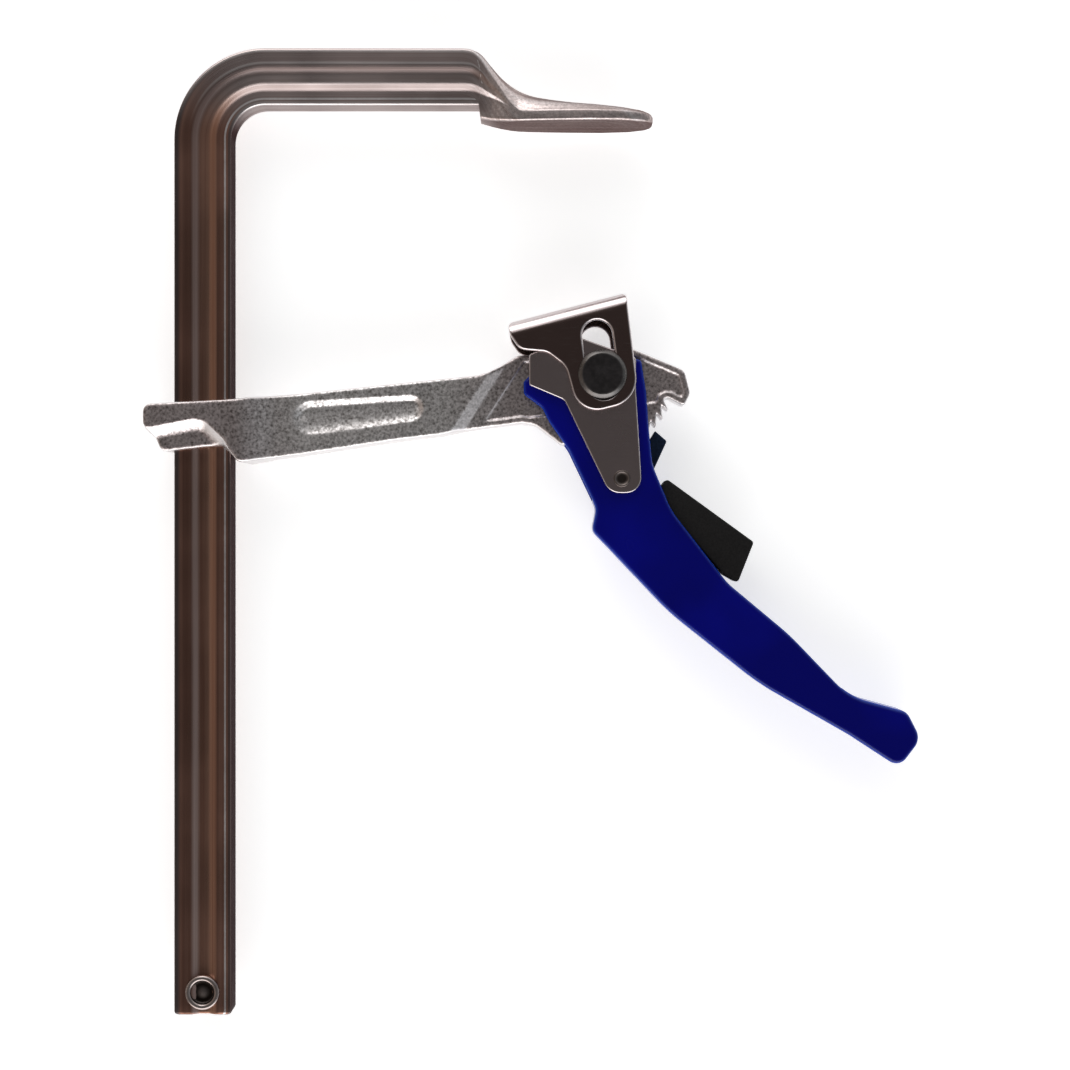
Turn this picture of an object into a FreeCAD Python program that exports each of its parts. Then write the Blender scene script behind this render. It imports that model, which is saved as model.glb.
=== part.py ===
import FreeCAD, Part
import math
import os

# Quick release bar clamp: a bent steel rail with a forged fixed jaw, and a cast arm that slides on the
# rail and carries a tilting pressure shoe, a squeeze lever with cam plates, and a ratchet pawl with its
# release trigger. Millimetres. Origin: the centre of the fixed jaw's clamping face. +X points away from
# the rail, +Z up along it, Y across the clamp, which is symmetric about Y = 0.

V = FreeCAD.Vector
doc = FreeCAD.newDocument("bar_clamp")

# Driving dimensions
SIZES = [
    ("rail_wide", 21.0, "rail section, across the throat"),
    ("rail_deep", 10.5, "rail section, through the clamp"),
    ("rail_edge", 1.2, "rounding of the rail's long edges"),
    ("groove_wide", 10.0, "mouth of the long groove on both rail faces"),
    ("groove_floor", 4.6, "floor of that groove"),
    ("groove_deep", 1.7, "depth of that groove"),
    ("throat", 123.5, "rail's inner face to the centre of the jaws"),
    ("arm_top", 27.7, "top of the upper arm above the clamping face"),
    ("foot_drop", 327.5, "clamping face down to the foot of the rail"),
    ("bend_radius", 23.0, "bend of the rail, on its centre line"),
    ("jaw_back", 32.0, "clamping face, from its centre towards the rail"),
    ("jaw_front", 31.5, "clamping face, from its centre away from the rail"),
    ("jaw_wide", 22.0, "clamping face, widest"),
    ("jaw_rim", 4.6, "thickness of the jaw at its rim"),
    ("stop_height", 8.2, "centre of the stop rivet above the foot"),
    ("stop_head", 12.8, "head of the stop rivet"),
    ("stop_shank", 9.4, "shank of the stop rivet"),
    ("stop_dish", 6.6, "dish in each head of the stop rivet"),
    ("stop_proud", 1.0, "head of the stop rivet, above the rail's face"),
    ("stop_fit", 0.05, "clearance round the stop rivet"),
    ("pin_out", 12.7, "pivot pin from the jaws' centre line"),
    ("pin_drop", 92.8, "pivot pin below the fixed clamping face"),
    ("pin_wide", 10.4, "pivot pin diameter"),
    ("pin_head", 17.8, "heads of the pivot pin"),
    ("pin_proud", 1.6, "head of the pivot pin, above the shoe's cheek"),
    ("pin_edge", 1.3, "chamfer round the pivot pin's heads"),
    ("pin_fit", 0.06, "running clearance round the pivot pin"),
    ("collar_deep", 26.0, "collar round the rail, through the clamp"),
    ("ledge_deep", 20.5, "lower ledge of the collar, through the clamp"),
    ("beam_deep", 16.0, "beam of the arm, through the clamp"),
    ("head_deep", 10.0, "head of the arm, through the clamp"),
    ("cast_round", 1.2, "rounding unit of the casting's outline"),
    ("slide_fit", 0.35, "clearance between rail and collar"),
    ("panel_deep", 1.6, "recessed panel on the beam's faces"),
    ("panel_wide", 12.6, "recessed panel, height"),
    ("panel_long", 46.0, "recessed panel, length"),
    ("arm_tall", 28.0, "height of the collar at the rail"),
    ("tooth_tip", 27.8, "tip radius of the ratchet teeth about the pin"),
    ("tooth_deep", 3.4, "depth of the ratchet teeth"),
    ("fork_deep", 14.8, "lever, through the clamp"),
    ("fork_gap", 10.4, "gap between the lever's cheeks"),
    ("lever_reach", 114.8, "pivot pin to the lever's tip, away from the rail"),
    ("lever_drop", 141.1, "pivot pin to the lever's tip, downwards"),
    ("lever_wall", 2.6, "web of the lever's channel"),
    ("lever_edge", 1.8, "rounding of the lever's outer edges"),
    ("lever_round", 1.0, "rounding unit of the lever's outline"),
    ("plate_thick", 2.0, "cam plate"),
    ("plate_fit", 0.1, "gap beside each cam plate"),
    ("plate_round", 1.0, "rounding unit of the cam plate's outline"),
    ("plate_reach", 26.7, "pivot pin to the cam plate's horn"),
    ("plate_drop", 43.0, "pivot pin to the cam plate's lower end"),
    ("rivet_out", 7.2, "plate rivet from the pivot pin, sideways"),
    ("rivet_drop", 37.9, "plate rivet below the pivot pin"),
    ("rivet_wide", 5.0, "plate rivet shank"),
    ("rivet_head", 6.2, "plate rivet head"),
    ("rivet_proud", 0.5, "plate rivet head above the cam plate"),
    ("shoe_sheet", 2.1, "sheet of the pressure shoe's cheeks"),
    ("shoe_roof", 2.7, "pressure shoe's clamping plate"),
    ("shoe_tall", 27.2, "pivot pin to the shoe's clamping face"),
    ("shoe_back", 28.9, "pivot pin to the shoe's end on the rail side"),
    ("shoe_front", 15.9, "pivot pin to the shoe's other end"),
    ("shoe_fit", 0.2, "gap beside each cheek of the shoe"),
    ("shoe_round", 1.0, "rounding unit of the shoe's outline"),
    ("slot_wide", 10.9, "slot in the shoe's cheeks"),
    ("slot_up", 14.4, "pin to the centre of the slot's upper end"),
    ("slot_down", 3.7, "pin to the centre of the slot's lower end"),
    ("slot_edge", 1.5, "countersink round the slot"),
    ("pawl_thick", 6.0, "ratchet pawl"),
    ("pawl_lift", 0.4, "nose of the pawl outside the tooth tips at rest"),
    ("pawl_round", 1.0, "rounding unit of the pawl's and trigger's outlines"),
    ("trigger_deep", 9.8, "release trigger, through the clamp"),
    ("trigger_fit", 0.1, "clearance between trigger and pawl tail"),
    ("spring_wire", 0.6, "wire of the pawl spring"),
    ("spring_coil", 8.2, "coil of the pawl spring, across the middle of its wire"),
    ("spring_fit", 0.1, "gap between each leg of the pawl spring and what it pushes"),
    ("overrun", 5.0, "length by which every cut runs past its faces"),
]
# Angles in degrees and counts
SHOE_TILT = 14.5
SLOT_LEAN = 6.8
TOOTH_PITCH = 8.1
TOOTH_COUNT = 11
TOOTH_FIRST = -27.8
TOOTH_BACK = 1.4
PANEL_LEAN = 6.0
NOSE_ANGLE = -45.5
HEEL_ANGLE = -54.0

sheet = doc.addObject("Spreadsheet::Sheet", "Sizes")
for row, (alias, value, note) in enumerate(SIZES, start=1):
    sheet.set("A%d" % row, note)
    sheet.set("B%d" % row, "%.4f" % value)
    sheet.setAlias("B%d" % row, alias)
doc.recompute()


def size(alias):
    return float(sheet.get(alias))


RAIL_X = -(size("throat") + size("rail_wide") / 2)


# Helpers for sketches and features
def origin_plane(body, role):
    for feature in body.Origin.OriginFeatures:
        if feature.Role == role:
            return feature
    raise ValueError(role)


def new_body(label):
    body = doc.addObject("PartDesign::Body", label)
    body.Label = label
    return body


def new_sketch(body, name, role, offset=None):
    sketch = body.newObject("Sketcher::SketchObject", name)
    sketch.AttachmentSupport = [(origin_plane(body, role), "")]
    sketch.MapMode = "FlatFace"
    if offset:
        sketch.setExpression("AttachmentOffset.Base.z", offset)
    return sketch


def ring(sketch, corners):
    """Closed outline of straight runs, each corner (x, y, r) rounded by a tangent arc of radius r."""
    count = len(corners)
    runs = []
    for i in range(count):
        before, here, after = corners[i - 1], corners[i], corners[(i + 1) % count]
        corner = V(here[0], here[1], 0)
        back = V(before[0], before[1], 0) - corner
        ahead = V(after[0], after[1], 0) - corner
        radius = here[2]
        if radius == 0:
            runs.append((corner, None, corner))
            continue
        half = back.getAngle(ahead) / 2
        reach = min(radius / math.tan(half), 0.49 * back.Length, 0.49 * ahead.Length)
        radius = reach * math.tan(half)
        back.normalize()
        ahead.normalize()
        middle = back + ahead
        middle.normalize()
        crown = corner + middle * (radius / math.sin(half) - radius)
        runs.append((corner + back * reach, crown, corner + ahead * reach))
    for i in range(count):
        start, crown, end = runs[i]
        if crown is not None:
            sketch.addGeometry(Part.ArcOfCircle(start, crown, end), False)
        following = runs[(i + 1) % count][0]
        if end.distanceToPoint(following) > 1e-6:
            sketch.addGeometry(Part.LineSegment(end, following), False)


def circle(sketch, x, y, radius):
    sketch.addGeometry(Part.Circle(V(x, y, 0), V(0, 0, 1), radius), False)


def pad(body, name, sketch, length):
    feature = body.newObject("PartDesign::Pad", name)
    feature.Profile = sketch
    feature.SideType = "Symmetric"
    feature.setExpression("Length", length)
    return feature


def pocket(body, name, sketch, length, symmetric=True, reverse=False):
    feature = body.newObject("PartDesign::Pocket", name)
    feature.Profile = sketch
    feature.SideType = "Symmetric" if symmetric else "One side"
    feature.Reversed = reverse
    feature.setExpression("Length", length)
    return feature


def scaled(shares, wide, tall, edge):
    """Corners from shares of a width and a height, with roundings as shares of a third size."""
    return [(x * wide, z * tall, r * edge) for x, z, r in shares]


def rims(feature, distance):
    """Names of the feature's edges whose middle and ends all lie where distance(point) is nothing."""
    names = []
    near = size("overrun") / 1000
    for number, rim in enumerate(feature.Shape.Edges, start=1):
        middle = rim.valueAt((rim.FirstParameter + rim.LastParameter) / 2)
        points = [middle] + [vertex.Point for vertex in rim.Vertexes]
        if all(distance(point) < near for point in points):
            names.append("Edge%d" % number)
    return names


def set_at_pin(body):
    body.setExpression("Placement.Base.x", "Sizes.pin_out")
    body.setExpression("Placement.Base.z", "-Sizes.pin_drop")


# Rail: the bar swept up from the foot, round the bend and along the upper arm
rail = new_body("rail")
half_wide, half_deep = size("rail_wide") / 2, size("rail_deep") / 2
mouth, floor, groove = size("groove_wide") / 2, size("groove_floor") / 2, size("groove_deep")
edge = size("rail_edge")
section = new_sketch(rail, "rail_section", "XY_Plane", "-Sizes.foot_drop")
ring(section, [
    (RAIL_X - half_wide, -half_deep, edge), (RAIL_X - mouth, -half_deep, edge / 2),
    (RAIL_X - floor, groove - half_deep, edge), (RAIL_X + floor, groove - half_deep, edge),
    (RAIL_X + mouth, -half_deep, edge / 2), (RAIL_X + half_wide, -half_deep, edge),
    (RAIL_X + half_wide, half_deep, edge), (RAIL_X + mouth, half_deep, edge / 2),
    (RAIL_X + floor, half_deep - groove, edge), (RAIL_X - floor, half_deep - groove, edge),
    (RAIL_X - mouth, half_deep, edge / 2), (RAIL_X - half_wide, half_deep, edge),
])
path = new_sketch(rail, "rail_path", "XZ_Plane")
arm_mid = size("arm_top") - half_wide
bend = size("bend_radius")
quarter_share = math.sqrt(0.5)
bend_end = V(RAIL_X + bend, arm_mid, 0)
bend_start = V(RAIL_X, arm_mid - bend, 0)
bend_crown = V(RAIL_X + bend * (1 - quarter_share), arm_mid - bend * (1 - quarter_share), 0)
path.addGeometry(Part.LineSegment(V(RAIL_X, -size("foot_drop"), 0), bend_start), False)
path.addGeometry(Part.ArcOfCircle(bend_start, bend_crown, bend_end), False)
path.addGeometry(Part.LineSegment(bend_end, V(-size("jaw_back"), arm_mid, 0)), False)
doc.recompute()
bar = rail.newObject("PartDesign::AdditivePipe", "rail_bar")
bar.Profile = section
bar.Spine = (path, ["Edge1", "Edge2", "Edge3"])
doc.recompute()

# Fixed jaw: forged out from the end of the arm into a flat leaf with a ridge that runs down its back.
# Each section is (place along the jaw, half width, rim height, ridge half width, ridge height) in shares.
# The sections reach below the clamping face, which one cut then leaves flat.
JAW_SHARES = [
    (-1.00, 0.56, 1.00, 0.44, 0.995),
    (-0.72, 0.74, 1.02, 0.32, 0.62),
    (-0.37, 0.87, 1.02, 0.24, 0.39),
    (0.00, 0.96, 0.98, 0.22, 0.325),
    (0.42, 1.00, 0.93, 0.20, 0.285),
    (0.74, 0.90, 0.88, 0.20, 0.235),
    (0.92, 0.66, 0.82, 0.20, 0.18),
    (1.00, 0.34, 0.62, 0.15, 0.125),
]
jaw_sections = []
for number, (along, out, rim, ridge, tall) in enumerate(JAW_SHARES):
    reach = "jaw_front" if along > 0 else "jaw_back"
    slice_sketch = new_sketch(rail, "jaw_section_%d" % number, "YZ_Plane", "Sizes.%s * %.3f" % (reach, along))
    w = out * size("jaw_wide") / 2
    r = ridge * size("jaw_wide") / 2
    low = rim * size("jaw_rim")
    high = tall * size("arm_top")
    under = -size("overrun")
    points = [(-w, under, 0), (w, under, 0), (w, low, 0), (r, high, 0), (-r, high, 0), (-w, low, 0)]
    ring(slice_sketch, points)
    jaw_sections.append(slice_sketch)
doc.recompute()
jaw = rail.newObject("PartDesign::AdditiveLoft", "jaw_leaf")
jaw.Profile = jaw_sections[0]
jaw.Sections = jaw_sections[1:]
jaw.Ruled = True
doc.recompute()
flat = new_sketch(rail, "jaw_flat", "XY_Plane")
over = size("overrun")
left, right = -size("jaw_back") - over, size("jaw_front") + over
side = size("jaw_wide") / 2 + over
ring(flat, [(left, -side, 0), (right, -side, 0), (right, side, 0), (left, side, 0)])
pocket(rail, "clamping_face", flat, "2 * Sizes.overrun", False)
doc.recompute()

# Hole for the stop rivet across the foot
stop_hole = new_sketch(rail, "stop_hole", "XZ_Plane")
stop_z = size("stop_height") - size("foot_drop")
circle(stop_hole, RAIL_X, stop_z, size("stop_shank") / 2 + size("stop_fit"))
pocket(rail, "stop_bore", stop_hole, "Sizes.rail_deep + 2 * Sizes.overrun")
doc.recompute()

# Stop rivet: shank in the groove's floor, a dished head on both faces
stop = new_body("stop_rivet")
profile = new_sketch(stop, "rivet_profile", "XY_Plane")
shank = size("stop_shank") / 2
head = size("stop_head") / 2
dish = size("stop_dish") / 2
proud = size("stop_proud")
seat = half_deep
ring(profile, [
    (0, groove - seat - proud, 0), (dish, groove - seat - proud, proud / 4),
    (dish + proud / 2, -seat - proud, proud / 2), (head, -seat - proud, proud / 2), (head, -seat, 0),
    (shank, -seat, 0), (shank, seat, 0), (head, seat, 0), (head, seat + proud, proud / 2),
    (dish + proud / 2, seat + proud, proud / 2), (dish, seat + proud - groove, proud / 4),
    (0, seat + proud - groove, 0),
])
doc.recompute()
turned = stop.newObject("PartDesign::Revolution", "rivet_turned")
turned.Profile = profile
turned.ReferenceAxis = (profile, ["V_Axis"])
turned.Angle = 360
stop.setExpression("Placement.Base.x", "-(Sizes.throat + Sizes.rail_wide / 2)")
stop.setExpression("Placement.Base.z", "Sizes.stop_height - Sizes.foot_drop")
doc.recompute()

# Sliding arm: casting with its origin at the pivot pin. Outlines are shares of the reach from the
# pin to the rail's centre line and of the height of the collar.
arm = new_body("sliding_arm")
set_at_pin(arm)
REACH = size("pin_out") - RAIL_X
TALL = size("arm_tall")
EDGE = size("cast_round")
COLLAR_SHARES = [
    (-1.139, -0.385, 2.5), (-1.139, -0.690, 2.5), (-1.110, -0.745, 1.5), (-1.060, -0.600, 4.0),
    (-0.990, -0.590, 6.0), (-0.935, -0.850, 4.0), (-0.905, -1.155, 2.5), (-0.868, -1.120, 1.0),
    (-0.868, -0.285, 1.0), (-0.935, -0.330, 4.0),
]
LEDGE_SHARES = [
    (-1.136, -0.420, 2.0), (-1.136, -0.700, 2.5), (-1.112, -0.830, 1.5), (-1.098, -1.005, 2.5),
    (-0.990, -0.940, 2.0), (-0.945, -0.925, 2.0), (-0.900, -1.130, 2.0), (-0.868, -1.110, 1.0),
    (-0.868, -0.300, 1.0), (-0.935, -0.340, 4.0),
]
BEAM_SHARES = [
    (-0.890, -0.300, 1.0), (-0.905, -1.140, 2.5), (-0.755, -1.043, 8.0), (-0.505, -0.846, 8.0),
    (-0.384, -0.768, 4.0), (-0.282, 0.055, 4.0), (-0.310, 0.000, 6.0), (-0.504, -0.104, 8.0),
    (-0.753, -0.243, 8.0),
]
collar_sketch = new_sketch(arm, "collar_outline", "XZ_Plane")
ring(collar_sketch, scaled(COLLAR_SHARES, REACH, TALL, EDGE))
pad(arm, "collar", collar_sketch, "Sizes.collar_deep")
ledge_sketch = new_sketch(arm, "ledge_outline", "XZ_Plane")
ring(ledge_sketch, scaled(LEDGE_SHARES, REACH, TALL, EDGE))
pad(arm, "ledge", ledge_sketch, "Sizes.ledge_deep")
beam_sketch = new_sketch(arm, "beam_outline", "XZ_Plane")
ring(beam_sketch, scaled(BEAM_SHARES, REACH, TALL, EDGE))
pad(arm, "beam", beam_sketch, "Sizes.beam_deep")
doc.recompute()

# Head of the arm: web round the pin, hook at the end, ratchet teeth below
tip, deep = size("tooth_tip"), size("tooth_deep")


def polar(radius, degrees):
    return (radius * math.cos(math.radians(degrees)), radius * math.sin(math.radians(degrees)))


HEAD_START_SHARES = [
    (-0.400, -0.775, 1.0), (-0.345, -0.060, 1.0), (-0.300, 0.000, 3.0), (-0.256, 0.120, 4.0),
    (-0.212, 0.268, 5.0), (-0.100, 0.300, 10.0), (0.034, 0.305, 2.0), (0.080, 0.355, 2.0), (0.208, 0.075, 3.0),
    (0.223, -0.230, 3.0), (0.206, -0.400, 1.0), (0.165, -0.285, 1.5),
]
head_outline = scaled(HEAD_START_SHARES, REACH, TALL, EDGE)
root = tip - deep
head_outline.append(polar(root, TOOTH_FIRST + TOOTH_PITCH - TOOTH_BACK) + (0,))
for index in range(TOOTH_COUNT):
    crest = TOOTH_FIRST - index * TOOTH_PITCH
    head_outline.append(polar(tip, crest) + (0,))
    head_outline.append(polar(root, crest + TOOTH_BACK) + (0,))
head_outline.append(polar(tip, TOOTH_FIRST - TOOTH_COUNT * TOOTH_PITCH) + (EDGE,))
HEAD_END_SHARES = [(-0.100, -0.915, 1.0), (-0.166, -0.650, 5.0), (-0.200, -0.620, 3.0), (-0.317, -0.700, 5.0)]
head_outline += scaled(HEAD_END_SHARES, REACH, TALL, EDGE)
head_sketch = new_sketch(arm, "head_outline", "XZ_Plane")
ring(head_sketch, head_outline)
pad(arm, "head", head_sketch, "Sizes.head_deep")
doc.recompute()

# Window for the rail, bore for the pin, recessed panels on the beam
window = new_sketch(arm, "rail_window", "XY_Plane")
fit = size("slide_fit")
ring(window, [
    (-REACH - half_wide - fit, -half_deep - fit, edge), (-REACH + half_wide + fit, -half_deep - fit, edge),
    (-REACH + half_wide + fit, half_deep + fit, edge), (-REACH - half_wide - fit, half_deep + fit, edge),
])
pocket(arm, "rail_passage", window, "4 * Sizes.arm_tall")
bore = new_sketch(arm, "pin_bore", "XZ_Plane")
circle(bore, 0, 0, size("pin_wide") / 2 + size("pin_fit"))
pocket(arm, "pin_passage", bore, "Sizes.head_deep + 2 * Sizes.overrun")
doc.recompute()

PANEL_AT_SHARES = (-0.592, -0.440)
panel_x, panel_z = PANEL_AT_SHARES[0] * REACH, PANEL_AT_SHARES[1] * TALL
lean = math.radians(PANEL_LEAN)
long_half = size("panel_long") / 2
wide_half = size("panel_wide") / 2
corners = []
for right, up in ((-1, -1), (1, -1), (1, 1), (-1, 1)):
    x = right * long_half
    z = up * wide_half
    corners.append((panel_x + x * math.cos(lean) - z * math.sin(lean),
                    panel_z + x * math.sin(lean) + z * math.cos(lean), wide_half))
for side, turned_over in (("front", False), ("rear", True)):
    face_offset = "Sizes.beam_deep / 2" if side == "front" else "-Sizes.beam_deep / 2"
    panel = new_sketch(arm, "panel_%s" % side, "XZ_Plane", face_offset)
    ring(panel, corners)
    pocket(arm, "recess_%s" % side, panel, "Sizes.panel_deep", False, turned_over)
doc.recompute()

# Pivot pin: shank through head, lever, cam plates and the shoe's slots, with a flat head outside each cheek
pin = new_body("pivot_pin")
set_at_pin(pin)
pin_shank, pin_head = size("pin_wide") / 2, size("pin_head") / 2
cheek = size("fork_deep") / 2 + size("plate_fit") + size("plate_thick") + size("shoe_fit") + size("shoe_sheet")
under, end, bevel = cheek + size("shoe_fit") / 2, cheek + size("pin_proud"), size("pin_edge")
pin_sketch = new_sketch(pin, "pin_profile", "XY_Plane")
ring(pin_sketch, [
    (0, -end, 0), (pin_head - bevel, -end, 0), (pin_head, -end + bevel, 0), (pin_head, -under, 0),
    (pin_shank, -under, 0), (pin_shank, under, 0), (pin_head, under, 0), (pin_head, end - bevel, 0),
    (pin_head - bevel, end, 0), (0, end, 0),
])
doc.recompute()
pin_turned = pin.newObject("PartDesign::Revolution", "pin_turned")
pin_turned.Profile = pin_sketch
pin_turned.ReferenceAxis = (pin_sketch, ["V_Axis"])
pin_turned.Angle = 360
doc.recompute()

# Lever: channel of coated sheet, forked round the arm's head. Shares of its reach and drop.
lever = new_body("lever")
set_at_pin(lever)
LEVER_SHARES = [
    (-0.252, -0.016, 1.0), (-0.105, 0.107, 4.0), (0.127, 0.040, 1.0), (0.143, -0.042, 25.0),
    (0.153, -0.149, 25.0), (0.163, -0.232, 20.0), (0.223, -0.350, 30.0), (0.402, -0.538, 20.0),
    (0.598, -0.671, 90.0), (0.790, -0.833, 25.0), (0.975, -0.874, 5.0), (1.020, -0.945, 6.0),
    (0.950, -1.020, 4.5), (0.790, -0.935, 60.0), (0.503, -0.802, 90.0), (0.215, -0.616, 90.0),
    (0.020, -0.448, 12.0), (-0.033, -0.404, 4.0), (-0.019, -0.347, 6.0), (-0.108, -0.195, 12.0),
    (-0.172, -0.120, 6.0), (-0.192, -0.086, 3.0), (-0.252, -0.050, 2.0),
]
WIDE, DROP = size("lever_reach"), size("lever_drop")
lever_sketch = new_sketch(lever, "lever_outline", "XZ_Plane")
ring(lever_sketch, scaled(LEVER_SHARES, WIDE, DROP, size("lever_round")))
lever_blank = pad(lever, "lever_blank", lever_sketch, "Sizes.fork_deep")
doc.recompute()

outer = size("fork_deep") / 2
lever_round = lever.newObject("PartDesign::Fillet", "lever_round")
lever_round.Base = (lever_blank, rims(lever_blank, lambda at: abs(abs(at.y) - outer)))
lever_round.setExpression("Radius", "Sizes.lever_edge")
doc.recompute()

# Inside of the channel: open round the arm's head and along the side away from the rail
CHANNEL_SHARES = [
    (-0.350, 0.180, 0.0), (-0.350, -0.260, 0.0), (-0.150, -0.292, 0.0), (-0.040, -0.310, 2.0),
    (0.009, -0.347, 4.0), (-0.004, -0.396, 3.0), (0.040, -0.441, 8.0), (0.231, -0.605, 90.0),
    (0.514, -0.787, 90.0), (0.735, -0.880, 3.0), (0.775, -0.760, 0.0), (0.610, -0.600, 0.0),
    (0.440, -0.460, 0.0), (0.305, -0.320, 0.0), (0.245, -0.210, 0.0), (0.245, 0.180, 0.0),
]
channel_sketch = new_sketch(lever, "channel_outline", "XZ_Plane")
ring(channel_sketch, scaled(CHANNEL_SHARES, WIDE, DROP, size("lever_round")))
pocket(lever, "channel", channel_sketch, "Sizes.fork_gap")
lever_bores = new_sketch(lever, "lever_bores", "XZ_Plane")
circle(lever_bores, 0, 0, size("pin_wide") / 2 + size("pin_fit"))
circle(lever_bores, size("rivet_out"), -size("rivet_drop"), size("rivet_wide") / 2 + size("pin_fit"))
pocket(lever, "lever_holes", lever_bores, "Sizes.fork_deep + 2 * Sizes.overrun")
doc.recompute()

# Cam plates, one on each outer face of the lever: the horn pushes the shoe up
PLATE_SHARES = [
    (-1.000, 0.170, 1.5), (-1.000, -0.088, 1.0), (-0.520, -0.214, 3.0), (0.097, -1.005, 6.2),
    (0.547, -1.005, 6.2), (0.461, -0.120, 20.0), (0.461, 0.147, 1.5), (-0.300, 0.316, 5.0),
    (-0.750, 0.245, 5.0),
]
PLATE_MIDDLE = "Sizes.fork_deep / 2 + Sizes.plate_fit + Sizes.plate_thick / 2"
for label, side in (("cam_plate_front", "(%s)"), ("cam_plate_rear", "-(%s)")):
    plate = new_body(label)
    set_at_pin(plate)
    outline = new_sketch(plate, label + "_outline", "XZ_Plane", side % PLATE_MIDDLE)
    ring(outline, scaled(PLATE_SHARES, size("plate_reach"), size("plate_drop"), size("plate_round")))
    circle(outline, 0, 0, size("pin_wide") / 2 + size("pin_fit"))
    circle(outline, size("rivet_out"), -size("rivet_drop"), size("rivet_wide") / 2 + size("pin_fit"))
    pad(plate, label + "_sheet", outline, "Sizes.plate_thick")
doc.recompute()

# Plate rivet: holds both cam plates on the lever and carries the pawl
rivet = new_body("plate_rivet")
rivet.setExpression("Placement.Base.x", "Sizes.pin_out + Sizes.rivet_out")
rivet.setExpression("Placement.Base.z", "-Sizes.pin_drop - Sizes.rivet_drop")
stack = size("fork_deep") / 2 + size("plate_fit") + size("plate_thick")
crown = stack + size("rivet_proud")
shank = size("rivet_wide") / 2
head = size("rivet_head") / 2
rivet_sketch = new_sketch(rivet, "plate_rivet_profile", "XY_Plane")
gap = size("plate_fit") / 2
ring(rivet_sketch, [
    (0, -crown, 0), (head - size("rivet_proud"), -crown, 0), (head, -stack - gap, 0), (shank, -stack - gap, 0),
    (shank, stack + gap, 0), (head, stack + gap, 0), (head - size("rivet_proud"), crown, 0), (0, crown, 0),
])
doc.recompute()
turned = rivet.newObject("PartDesign::Revolution", "plate_rivet_turned")
turned.Profile = rivet_sketch
turned.ReferenceAxis = (rivet_sketch, ["V_Axis"])
turned.Angle = 360
doc.recompute()

# Pressure shoe: sheet bent into a U over the lever's head, its clamping plate on top. Its frame is
# turned with it, so its outline is drawn level.
shoe = new_body("pressure_shoe")
shoe.Placement = FreeCAD.Placement(V(0, 0, 0), FreeCAD.Rotation(V(0, 1, 0), -SHOE_TILT))
set_at_pin(shoe)
SHOE_BACK_SHARES = [
    (-1.000, 1.000, 3.5), (-1.000, 0.800, 3.0), (-0.930, 0.575, 4.0), (-0.600, 0.460, 6.0),
    (-0.425, 0.230, 8.0), (-0.415, -0.456, 10.5),
]
SHOE_FRONT_SHARES = [(0.667, -0.463, 10.5), (1.000, 1.000, 2.0)]
cheek_inner = "(Sizes.fork_deep / 2 + Sizes.plate_fit + Sizes.plate_thick + Sizes.shoe_fit)"
shoe_sketch = new_sketch(shoe, "shoe_outline", "XZ_Plane")
tall, back, front = size("shoe_tall"), size("shoe_back"), size("shoe_front")
cheek_corners = scaled(SHOE_BACK_SHARES, back, tall, size("shoe_round"))
cheek_corners += scaled(SHOE_FRONT_SHARES, front, tall, size("shoe_round"))
ring(shoe_sketch, cheek_corners)
shoe_blank = pad(shoe, "shoe_blank", shoe_sketch, "2 * (%s + Sizes.shoe_sheet)" % cheek_inner)
doc.recompute()
half_shoe = stack + size("shoe_fit") + size("shoe_sheet")
fold = shoe.newObject("PartDesign::Fillet", "shoe_fold")
fold.Base = (shoe_blank, rims(shoe_blank, lambda at: abs(abs(at.y) - half_shoe) + abs(at.z - tall)))
fold.setExpression("Radius", "Sizes.shoe_sheet")
doc.recompute()
hollow = new_sketch(shoe, "shoe_inside", "XZ_Plane")
roof = tall - size("shoe_roof")
ring(hollow, [(-back - over, roof, 0), (-back - over, -tall, 0), (front + over, -tall, 0), (front + over, roof, 0)])
pocket(shoe, "shoe_hollow", hollow, "2 * " + cheek_inner)
slot = new_sketch(shoe, "slot_outline", "XZ_Plane")
slot_half = size("slot_wide") / 2
along = V(math.sin(math.radians(SLOT_LEAN)), math.cos(math.radians(SLOT_LEAN)), 0)
across = V(along.y, -along.x, 0)
slot_corners = []
for right, up in ((-1, size("slot_up") + slot_half), (-1, -size("slot_down") - slot_half),
                  (1, -size("slot_down") - slot_half), (1, size("slot_up") + slot_half)):
    point = along * up + across * (right * slot_half)
    slot_corners.append((point.x, point.y, slot_half))
ring(slot, slot_corners)
slots = pocket(shoe, "pin_slots", slot, "4 * Sizes.fork_deep")
doc.recompute()
sink = shoe.newObject("PartDesign::Chamfer", "slot_countersink")


def off_slot(at):
    flat = V(at.x, at.z, 0)
    reach = min(max(flat.dot(along), -size("slot_down")), size("slot_up"))
    return abs(abs(at.y) - half_shoe) + abs(flat.distanceToPoint(along * reach) - slot_half)


sink.Base = (slots, rims(slots, off_slot))
sink.setExpression("Size", "Sizes.slot_edge")
doc.recompute()

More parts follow.
